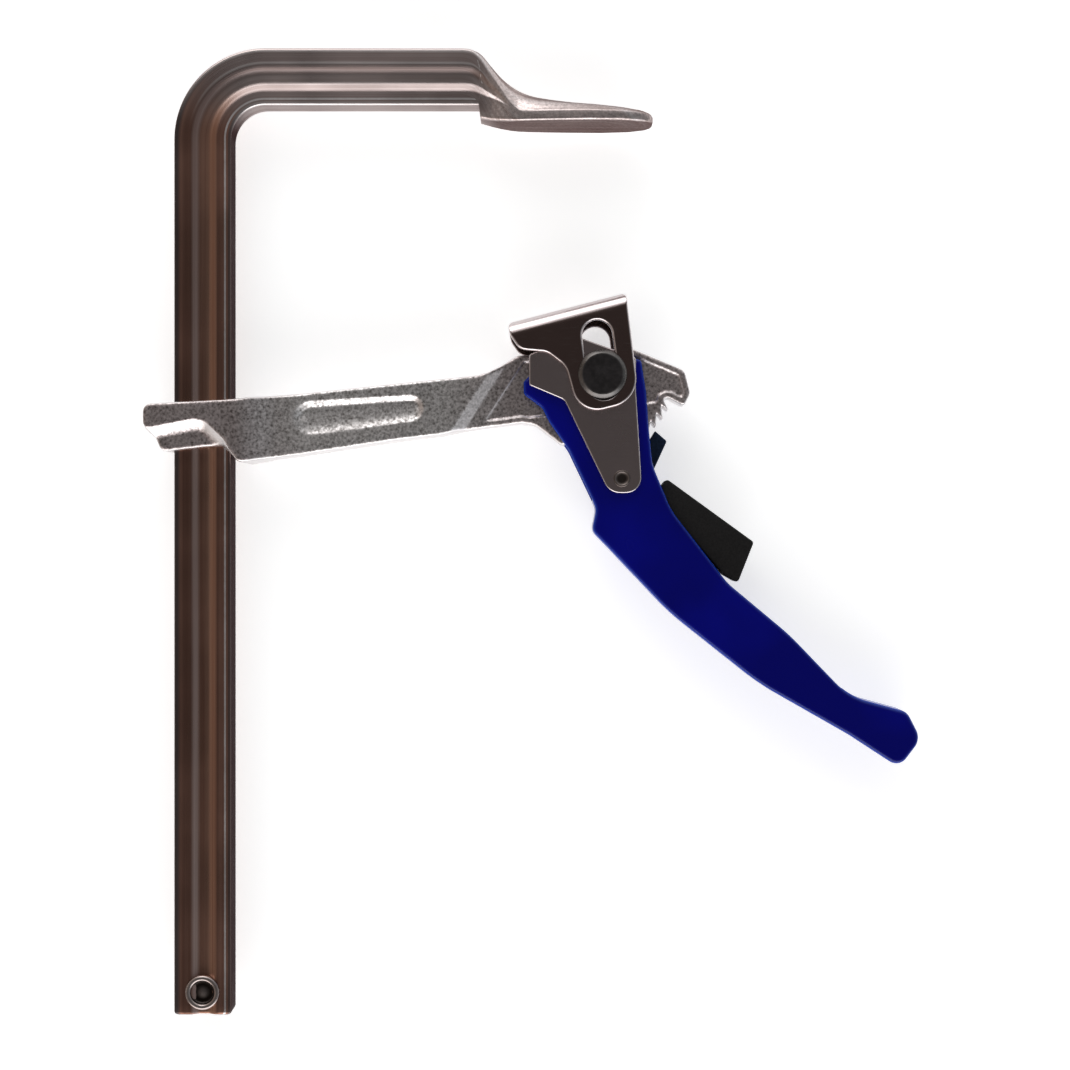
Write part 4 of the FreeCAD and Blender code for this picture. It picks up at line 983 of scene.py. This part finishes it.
def arm_field(grid, sizes):
    """Distance to the casting: one outline with rounded edges, whose half thickness varies over it.

    It is 13 mm at the collar and 9.2 mm on the ledge below, with a hollow slope (1 - d / f)^1.4 between them,
    8 mm along the beam, and 5 mm past a straight bevel before the head. The panel is hollowed, steeply from
    its top edge and slowly from its lower one, and the head's web lies below a raised rim."""
    y = np.abs(grid.y)
    collar, ledge, beam = (
        grid.outline(corners, ARM_REACH, ARM_TALL, CAST_UNIT, PIN) for corners in (COLLAR, LEDGE, BEAM))
    head = grid.outline(head_corners(), 1, 1, 1, PIN)
    past = ((grid.x - PIN_X - BEVEL_PLACE[0] * ARM_REACH) * BEVEL_ACROSS
            - (grid.z - PIN_Z - BEVEL_PLACE[1] * ARM_TALL) * BEVEL_DOWN)
    thick = BEAM_HALF - (BEAM_HALF - HEAD_HALF) * ramp(past, 0.0, BEVEL_WIDE)
    stem = 1 - ease(grid.x, STEM_START, STEM_END)
    step = ramp(collar, sizes.collar_fillet, 0.0) ** COLLAR_POWER
    thick = thick + stem * (LEDGE_HALF - BEAM_HALF + (COLLAR_HALF - LEDGE_HALF) * step)
    x, z = grid.x - PIN_X - PANEL_PLACE[0] * ARM_REACH, grid.z - PIN_Z - PANEL_PLACE[1] * ARM_TALL
    right = x * math.cos(PANEL_LEAN) + z * math.sin(PANEL_LEAN)
    up = z * math.cos(PANEL_LEAN) - x * math.sin(PANEL_LEAN)
    share = np.hypot(np.maximum(np.abs(right) - PANEL_LONG, 0), up) / (PANEL_WIDE - PANEL_TAPER * right)
    steep = ramp(share, 1.0, PANEL_FLOOR)
    shallow = np.maximum(1 - share ** 2, 0) * PANEL_SHALLOW
    thick = thick - sizes.panel_deep * (shallow + (steep - shallow) * ramp(up, -1.0 * MM, 1.5 * MM))
    web = ramp(-head, sizes.web_rim, sizes.web_rim + WEB_WALL) * ramp(past, WEB_PAST, WEB_PAST + WEB_WALL)
    low = PIN_Z - WEB_LOW + WEB_RISE * grid.x
    thick = thick - sizes.web_deep * web * ramp(grid.z, low, low + WEB_WALL)
    outline = np.minimum(np.minimum(collar, ledge), merge(beam, head, 0.5 * MM))
    body = slab(outline, y - thick, sizes.cast_edge)
    window = np.maximum(np.abs(grid.x - RAIL_X) - BAR_WIDE / 2, y - BAR_DEEP / 2) - WINDOW_GAP
    return cut(cut(body, window, 0.8 * MM), grid.hole(PIN, PIN_BORE), 0.4 * MM)


def put_skin(name, body, field, grid, material, slot, replaced):
    put(name, body, *skin(field, grid), material, slot, replaced)


class CLAMP_OT_sliding_arm(bpy.types.Operator):
    """Make the cast arm with collar, ledge, beam, panel, head, hook and teeth"""

    bl_idname = "clamp.sliding_arm"
    bl_label = "Sliding arm"

    def execute(self, context):
        sizes = context.scene.clamp_sizes
        grid = Grid("sliding_arm", sizes.cast_pitch)
        put_skin("arm_casting", "arm", arm_field(grid, sizes), grid, cast_finish(context.scene.clamp_colours),
                 "cast_steel", ["sliding_arm"])
        return {"FINISHED"}


# Pressure shoe, lever and cam plates


SHOE = [
    (-28.90, 27.20, 3.5), (-28.90, 21.76, 3.0), (-26.90, 16.20, 5.0), (-17.50, 12.90, 6.0),
    (-12.28, 6.26, 8.0), (-11.99, -12.40, 10.5), (10.61, -12.59, 10.5), (15.90, 27.20, 2.0),
]
SHOE_TILT = math.radians(14.5)
SHOE_TOP, SHOE_ROOF, SHOE_INSIDE = 27.2 * MM, 24.5 * MM, 9.7 * MM
SLOT_LEAN = math.radians(7.7)
SLOT_UP, SLOT_DOWN, SLOT_HALF, SLOT_LIP = 14.4 * MM, 3.7 * MM, 5.45 * MM, 0.6 * MM
LEVER = [
    (-0.252, -0.016, 1.0), (-0.105, 0.107, 4.0), (0.127, 0.040, 1.0), (0.143, -0.042, 25.0),
    (0.153, -0.149, 25.0), (0.163, -0.232, 20.0), (0.223, -0.350, 30.0), (0.402, -0.538, 20.0),
    (0.598, -0.671, 90.0), (0.790, -0.833, 25.0), (0.975, -0.874, 5.0), (1.020, -0.945, 6.0),
    (0.950, -1.020, 4.5), (0.790, -0.935, 60.0), (0.503, -0.802, 90.0), (0.215, -0.616, 90.0),
    (0.020, -0.448, 12.0), (-0.033, -0.404, 4.0), (-0.019, -0.347, 6.0), (-0.108, -0.195, 12.0),
    (-0.172, -0.120, 6.0), (-0.192, -0.086, 3.0), (-0.252, -0.050, 2.0),
]
CHANNEL = [
    (-0.350, 0.180, 0.0), (-0.350, -0.260, 0.0), (-0.150, -0.292, 0.0), (-0.040, -0.310, 2.0),
    (0.009, -0.347, 4.0), (-0.004, -0.396, 3.0), (0.040, -0.441, 8.0), (0.231, -0.605, 90.0),
    (0.514, -0.787, 90.0), (0.735, -0.880, 3.0), (0.775, -0.760, 0.0), (0.610, -0.600, 0.0),
    (0.440, -0.460, 0.0), (0.305, -0.320, 0.0), (0.245, -0.210, 0.0), (0.245, 0.180, 0.0),
]
LEVER_REACH, LEVER_DROP = 114.8 * MM, 141.1 * MM
LEVER_HALF, LEVER_EDGE, CHANNEL_HALF = 7.4 * MM, 1.8 * MM, 5.2 * MM
PLATE = [
    (-1.000, 0.170, 1.5), (-1.000, -0.088, 1.0), (-0.520, -0.214, 3.0), (0.097, -1.005, 6.2),
    (0.547, -1.005, 6.2), (0.461, -0.120, 20.0), (0.461, 0.147, 1.5), (-0.300, 0.316, 5.0),
    (-0.750, 0.245, 5.0),
]
PLATE_REACH, PLATE_DROP = 26.7 * MM, 43.0 * MM


def bores(grid, field, lip):
    """The field without the bore for the pin and the hole for the plate rivet."""
    return cut(cut(field, grid.hole(PIN, PIN_BORE), lip), grid.hole(RIVET, RIVET_BORE), lip)


class CLAMP_OT_pressure_shoe(bpy.types.Operator):
    """Make the pressure shoe: sheet folded into a U, with its clamping plate and a countersunk slot"""

    bl_idname = "clamp.pressure_shoe"
    bl_label = "Pressure shoe"

    def execute(self, context):
        """Outer slab with a folded top edge, less the hollow below the plate, less a slot with a lip."""
        sizes, colours = context.scene.clamp_sizes, context.scene.clamp_colours
        grid = Grid("pressure_shoe", sizes.fine_pitch)
        x, y, z = grid.x - PIN_X, np.abs(grid.y), grid.z - PIN_Z
        outline = grid.outline(SHOE, MM, MM, MM, PIN, SHOE_TILT)
        height = z * math.cos(SHOE_TILT) - x * math.sin(SHOE_TILT)
        folded = slab(height - SHOE_TOP, y - CHEEK, sizes.shoe_fold)
        body = np.maximum(slab(outline, y - CHEEK, sizes.shoe_edge), folded)
        body = cut(body, np.maximum(y - SHOE_INSIDE, height - SHOE_ROOF), 0.3 * MM)
        up = z * math.cos(SLOT_LEAN) - x * math.sin(SLOT_LEAN)
        side = x * math.cos(SLOT_LEAN) + z * math.sin(SLOT_LEAN)
        slot = np.hypot(side, up - np.clip(up, -SLOT_DOWN, SLOT_UP)) - SLOT_HALF
        slot = slot - np.maximum(y - (CHEEK - SLOT_LIP), 0)
        put_skin("shoe_folded", "shoe", cut(body, slot, 0.25 * MM), grid,
                 sheet_finish(colours, "shoe_finish", colours.sheet), "plated_sheet", ["pressure_shoe"])
        return {"FINISHED"}


class CLAMP_OT_lever(bpy.types.Operator):
    """Make the squeeze lever: a channel with soft edges under a dipped blue coating"""

    bl_idname = "clamp.lever"
    bl_label = "Lever"

    def execute(self, context):
        """Outline extruded with rounded edges, less the channel, less the two holes."""
        sizes = context.scene.clamp_sizes
        grid = Grid("lever", sizes.coat_pitch)
        y = np.abs(grid.y)
        outline, inner = (
            grid.outline(corners, LEVER_REACH, LEVER_DROP, MM, PIN) for corners in (LEVER, CHANNEL))
        body = slab(outline, y - LEVER_HALF, LEVER_EDGE)
        body = cut(body, np.maximum(inner, y - CHANNEL_HALF), sizes.coat_edge)
        put_skin("lever_coated", "lever", bores(grid, body, 0.3 * MM), grid,
                 coat_finish(context.scene.clamp_colours), "blue_coating", ["lever"])
        return {"FINISHED"}


class CLAMP_OT_cam_plates(bpy.types.Operator):
    """Make the two punched cam plates on the faces of the lever"""

    bl_idname = "clamp.cam_plates"
    bl_label = "Cam plates"

    def execute(self, context):
        sizes, colours = context.scene.clamp_sizes, context.scene.clamp_colours
        finish = sheet_finish(colours, "cam_plate_finish", colours.plate)
        for node in ("cam_plate_front", "cam_plate_rear"):
            low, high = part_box(node)
            grid = Grid(node, sizes.fine_pitch)
            flat = grid.outline(PLATE, PLATE_REACH, PLATE_DROP, MM, PIN)
            field = slab(flat, np.abs(grid.y - (low.y + high.y) / 2) - (high.y - low.y) / 2, sizes.plate_edge)
            put_skin(node + "_punched", "lever", bores(grid, field, 0.2 * MM), grid, finish,
                     "plated_sheet", [node])
        return {"FINISHED"}


# Pawl, trigger and spring. Outlines are shares of the drop from the pin to the plate rivet


RIVET_DROP = PIN_Z - RIVET_Z
PAWL_HALF, PAWL_EDGE, TAIL_HALF, TRIGGER_HALF = 3.0 * MM, 0.5 * MM, 3.1 * MM, 4.9 * MM
NOSE_REACH = TOOTH_TIP + 0.4 * MM
NOSE = [polar(NOSE_REACH, -45.5), polar(NOSE_REACH * 1.05, -54.0)]
PAWL = [
    (0.020, 0.180, 4.0), (-0.150, 0.080, 4.5), (-0.125, -0.110, 4.5), (0.050, -0.170, 4.0),
    (0.925, -0.790, 1.0), (1.000, -0.670, 1.0), (0.310, -0.040, 5.0), (0.322, 0.100, 2.0),
    (0.446, 0.370, 0.8),
]
TRIGGER = [
    (0.383, -0.071, 0.8), (0.441, 0.002, 1.2), (1.287, -0.612, 1.2), (1.130, -1.010, 1.2),
    (0.990, -0.930, 2.0), (0.400, -0.270, 3.0),
]
TAIL = [
    (-0.150, -0.028, 0.0), (0.050, -0.170, 4.0), (0.925, -0.790, 1.0), (1.000, -0.670, 1.0),
    (0.310, -0.040, 5.0), (0.322, 0.100, 2.0),
]


class CLAMP_OT_ratchet_pawl(bpy.types.Operator):
    """Make the blackened ratchet pawl"""

    bl_idname = "clamp.ratchet_pawl"
    bl_label = "Ratchet pawl"

    def execute(self, context):
        sizes, colours = context.scene.clamp_sizes, context.scene.clamp_colours
        grid = Grid("ratchet_pawl", sizes.fine_pitch)
        corners = [
            ((x + PIN_X - RIVET_X) / RIVET_DROP, (z + PIN_Z - RIVET_Z) / RIVET_DROP, 0.0) for x, z in NOSE]
        flat = grid.outline(corners + PAWL, RIVET_DROP, RIVET_DROP, MM, RIVET)
        field = slab(flat, np.abs(grid.y) - PAWL_HALF, PAWL_EDGE)
        put_skin("pawl_black", "pawl", cut(field, grid.hole(RIVET, RIVET_BORE), 0.2 * MM), grid,
                 black_finish("pawl_finish", colours.pawl, 0.6, 0.28, 0.45, 900.0),
                 "black_steel", ["ratchet_pawl"])
        return {"FINISHED"}


class CLAMP_OT_release_trigger(bpy.types.Operator):
    """Make the moulded release trigger over the pawl's tail"""

    bl_idname = "clamp.release_trigger"
    bl_label = "Release trigger"

    def execute(self, context):
        sizes, colours = context.scene.clamp_sizes, context.scene.clamp_colours
        grid = Grid("release_trigger", sizes.fine_pitch)
        y = np.abs(grid.y)
        outline, tail = (
            grid.outline(corners, RIVET_DROP, RIVET_DROP, MM, RIVET) for corners in (TRIGGER, TAIL))
        field = slab(outline, y - TRIGGER_HALF, sizes.trigger_edge)
        field = cut(field, np.maximum(tail - 0.05 * MM, y - TAIL_HALF), 0.2 * MM)
        put_skin("trigger_moulded", "pawl", field, grid,
                 black_finish("trigger_finish", colours.trigger, 0.0, 0.48, 0.62, 1500.0),
                 "black_plastic", ["release_trigger"])
        return {"FINISHED"}


class CLAMP_OT_pawl_spring(bpy.types.Operator):
    """Give the pawl spring its drawn wire finish"""

    bl_idname = "clamp.pawl_spring"
    bl_label = "Pawl spring"

    def execute(self, context):
        finish = spring_finish(context.scene.clamp_colours)
        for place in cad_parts["pawl_spring"].material_slots:
            place.material = finish
        return {"FINISHED"}


# Stage


ROOM_FRONT, ROOM_SIDE, ROOM_TOP, ROOM_LOW = 0.16, 0.36, 1.1, 3.0
WHITE = (1.0, 1.0, 1.0)
MIDDLE = Vector((-0.012, 0.0, -0.151))
LAMP_WIDE, FLOOR_HALF, FLOOR_GAP = 0.9, 1.6, 0.2 * MM
LAMPS = (("key_lamp", (-0.35, -0.50, 0.95), 4.0), ("back_lamp", (0.40, 0.80, 0.45), 6.0))
CAMERA_PLACE, CAMERA_LENS, CAMERA_FILM = (-0.01185, -0.620, -0.1513), 56.32, 36.0


def lamp(name, at, power):
    """A white area lamp at a place, turned towards the clamp, that only lights and isn't seen itself."""
    data = bpy.data.lights.new(name, "AREA")
    data.shape = "RECTANGLE"
    data.size = data.size_y = LAMP_WIDE
    data.energy = power
    lit = bpy.data.objects.new(name, data)
    lit.location = at
    lit.rotation_euler = (MIDDLE - Vector(at)).to_track_quat("-Z", "Y").to_euler()
    lit.visible_camera = False
    bpy.context.scene.collection.objects.link(lit)


def studio_world():
    """Room with a soft light above and one below the clamp, dimmer in front of it, warm on the left and cool
    on the right. The camera sees plain white."""
    world = bpy.data.worlds.new("studio")
    world.use_nodes = True
    tree = world.node_tree
    around = tree.nodes["Background"]
    way = add(tree, "ShaderNodeTexCoord").outputs["Generated"]
    parts = add(tree, "ShaderNodeSeparateXYZ", {0: way}).outputs
    above = band(tree, parts["Z"], 0.42, 0.90, 0.0, ROOM_TOP - ROOM_SIDE)
    below = band(tree, parts["Z"], -0.62, -0.82, 0.0, ROOM_LOW - ROOM_SIDE)
    room = math_node(tree, "ADD", math_node(tree, "ADD", above, below), ROOM_SIDE)
    ahead = band(tree, parts["Y"], -0.94, -0.60)
    sides = stripes(tree, band(tree, parts["X"], -1.0, 1.0), [
        (0.0, (1.0, 0.82, 0.70)), (0.35, WHITE), (0.65, WHITE), (1.0, (0.88, 0.95, 1.0))])
    feed(tree, around, {"Color": sides, "Strength": band(tree, ahead, 0.0, 1.0, ROOM_FRONT, room)})
    seen = add(tree, "ShaderNodeBackground", {"Color": rgba(WHITE), "Strength": 1.0})
    path = add(tree, "ShaderNodeLightPath").outputs["Is Camera Ray"]
    both = add(tree, "ShaderNodeMixShader", {0: path, 1: around.outputs[0], 2: seen.outputs[0]})
    feed(tree, tree.nodes["World Output"], {"Surface": both.outputs[0]})
    return world


class CLAMP_OT_stage(bpy.types.Operator):
    """Make the pale sheet that the clamp lies on, the lamps, the world and the camera"""

    bl_idname = "clamp.stage"
    bl_label = "Stage"

    def execute(self, context):
        scene = context.scene
        mesh = bpy.data.meshes.new("floor")
        corners = [(MIDDLE.x + x * FLOOR_HALF, CAD_BOX[1][1] + FLOOR_GAP, MIDDLE.z + z * FLOOR_HALF)
                   for x, z in ((-1, -1), (1, -1), (1, 1), (-1, 1))]
        mesh.from_pydata(corners, [], [(0, 1, 2, 3)])
        mesh.materials.append(floor_finish(scene.clamp_colours))
        floor = bpy.data.objects.new("floor", mesh)
        scene.collection.objects.link(floor)
        for name, at, power in LAMPS:
            lamp(name, at, power)
        scene.world = studio_world()
        data = bpy.data.cameras.new("camera")
        data.lens, data.sensor_width, data.sensor_fit = CAMERA_LENS, CAMERA_FILM, "HORIZONTAL"
        data.clip_end = 20.0
        camera = bpy.data.objects.new("camera", data)
        camera.location = CAMERA_PLACE
        camera.rotation_euler = (math.pi / 2, 0, 0)
        scene.collection.objects.link(camera)
        scene.camera = camera
        scene.view_settings.view_transform = "Standard"
        return {"FINISHED"}


# Panel and registration


STEPS = (
    CLAMP_OT_rail, CLAMP_OT_stop_rivet, CLAMP_OT_sliding_arm, CLAMP_OT_pivot_pin, CLAMP_OT_pressure_shoe,
    CLAMP_OT_lever, CLAMP_OT_cam_plates, CLAMP_OT_plate_rivet, CLAMP_OT_ratchet_pawl,
    CLAMP_OT_release_trigger, CLAMP_OT_pawl_spring, CLAMP_OT_stage,
)


class CLAMP_PT_pieces(bpy.types.Panel):
    """List of the clamp's pieces, with the sizes and colours that can be changed"""

    bl_idname = "CLAMP_PT_pieces"
    bl_label = "Bar clamp"
    bl_space_type = "VIEW_3D"
    bl_region_type = "UI"
    bl_category = "Bar clamp"

    def draw(self, context):
        for step in STEPS:
            self.layout.operator(step.bl_idname)
        for settings in (context.scene.clamp_sizes, context.scene.clamp_colours):
            box = self.layout.box()
            for name in settings.__annotations__:
                box.prop(settings, name)


CLASSES = (ClampSizes, ClampColours, *STEPS, CLAMP_PT_pieces)


def register():
    for made in CLASSES:
        bpy.utils.register_class(made)
    bpy.types.Scene.clamp_sizes = PointerProperty(type=ClampSizes)
    bpy.types.Scene.clamp_colours = PointerProperty(type=ClampColours)


def unregister():
    del bpy.types.Scene.clamp_colours
    del bpy.types.Scene.clamp_sizes
    for made in reversed(CLASSES):
        bpy.utils.unregister_class(made)


def main():
    register()
    make_groups()
    for step in STEPS:
        getattr(bpy.ops.clamp, step.bl_idname.split(".")[1])()


if __name__ == "__main__":
    main()
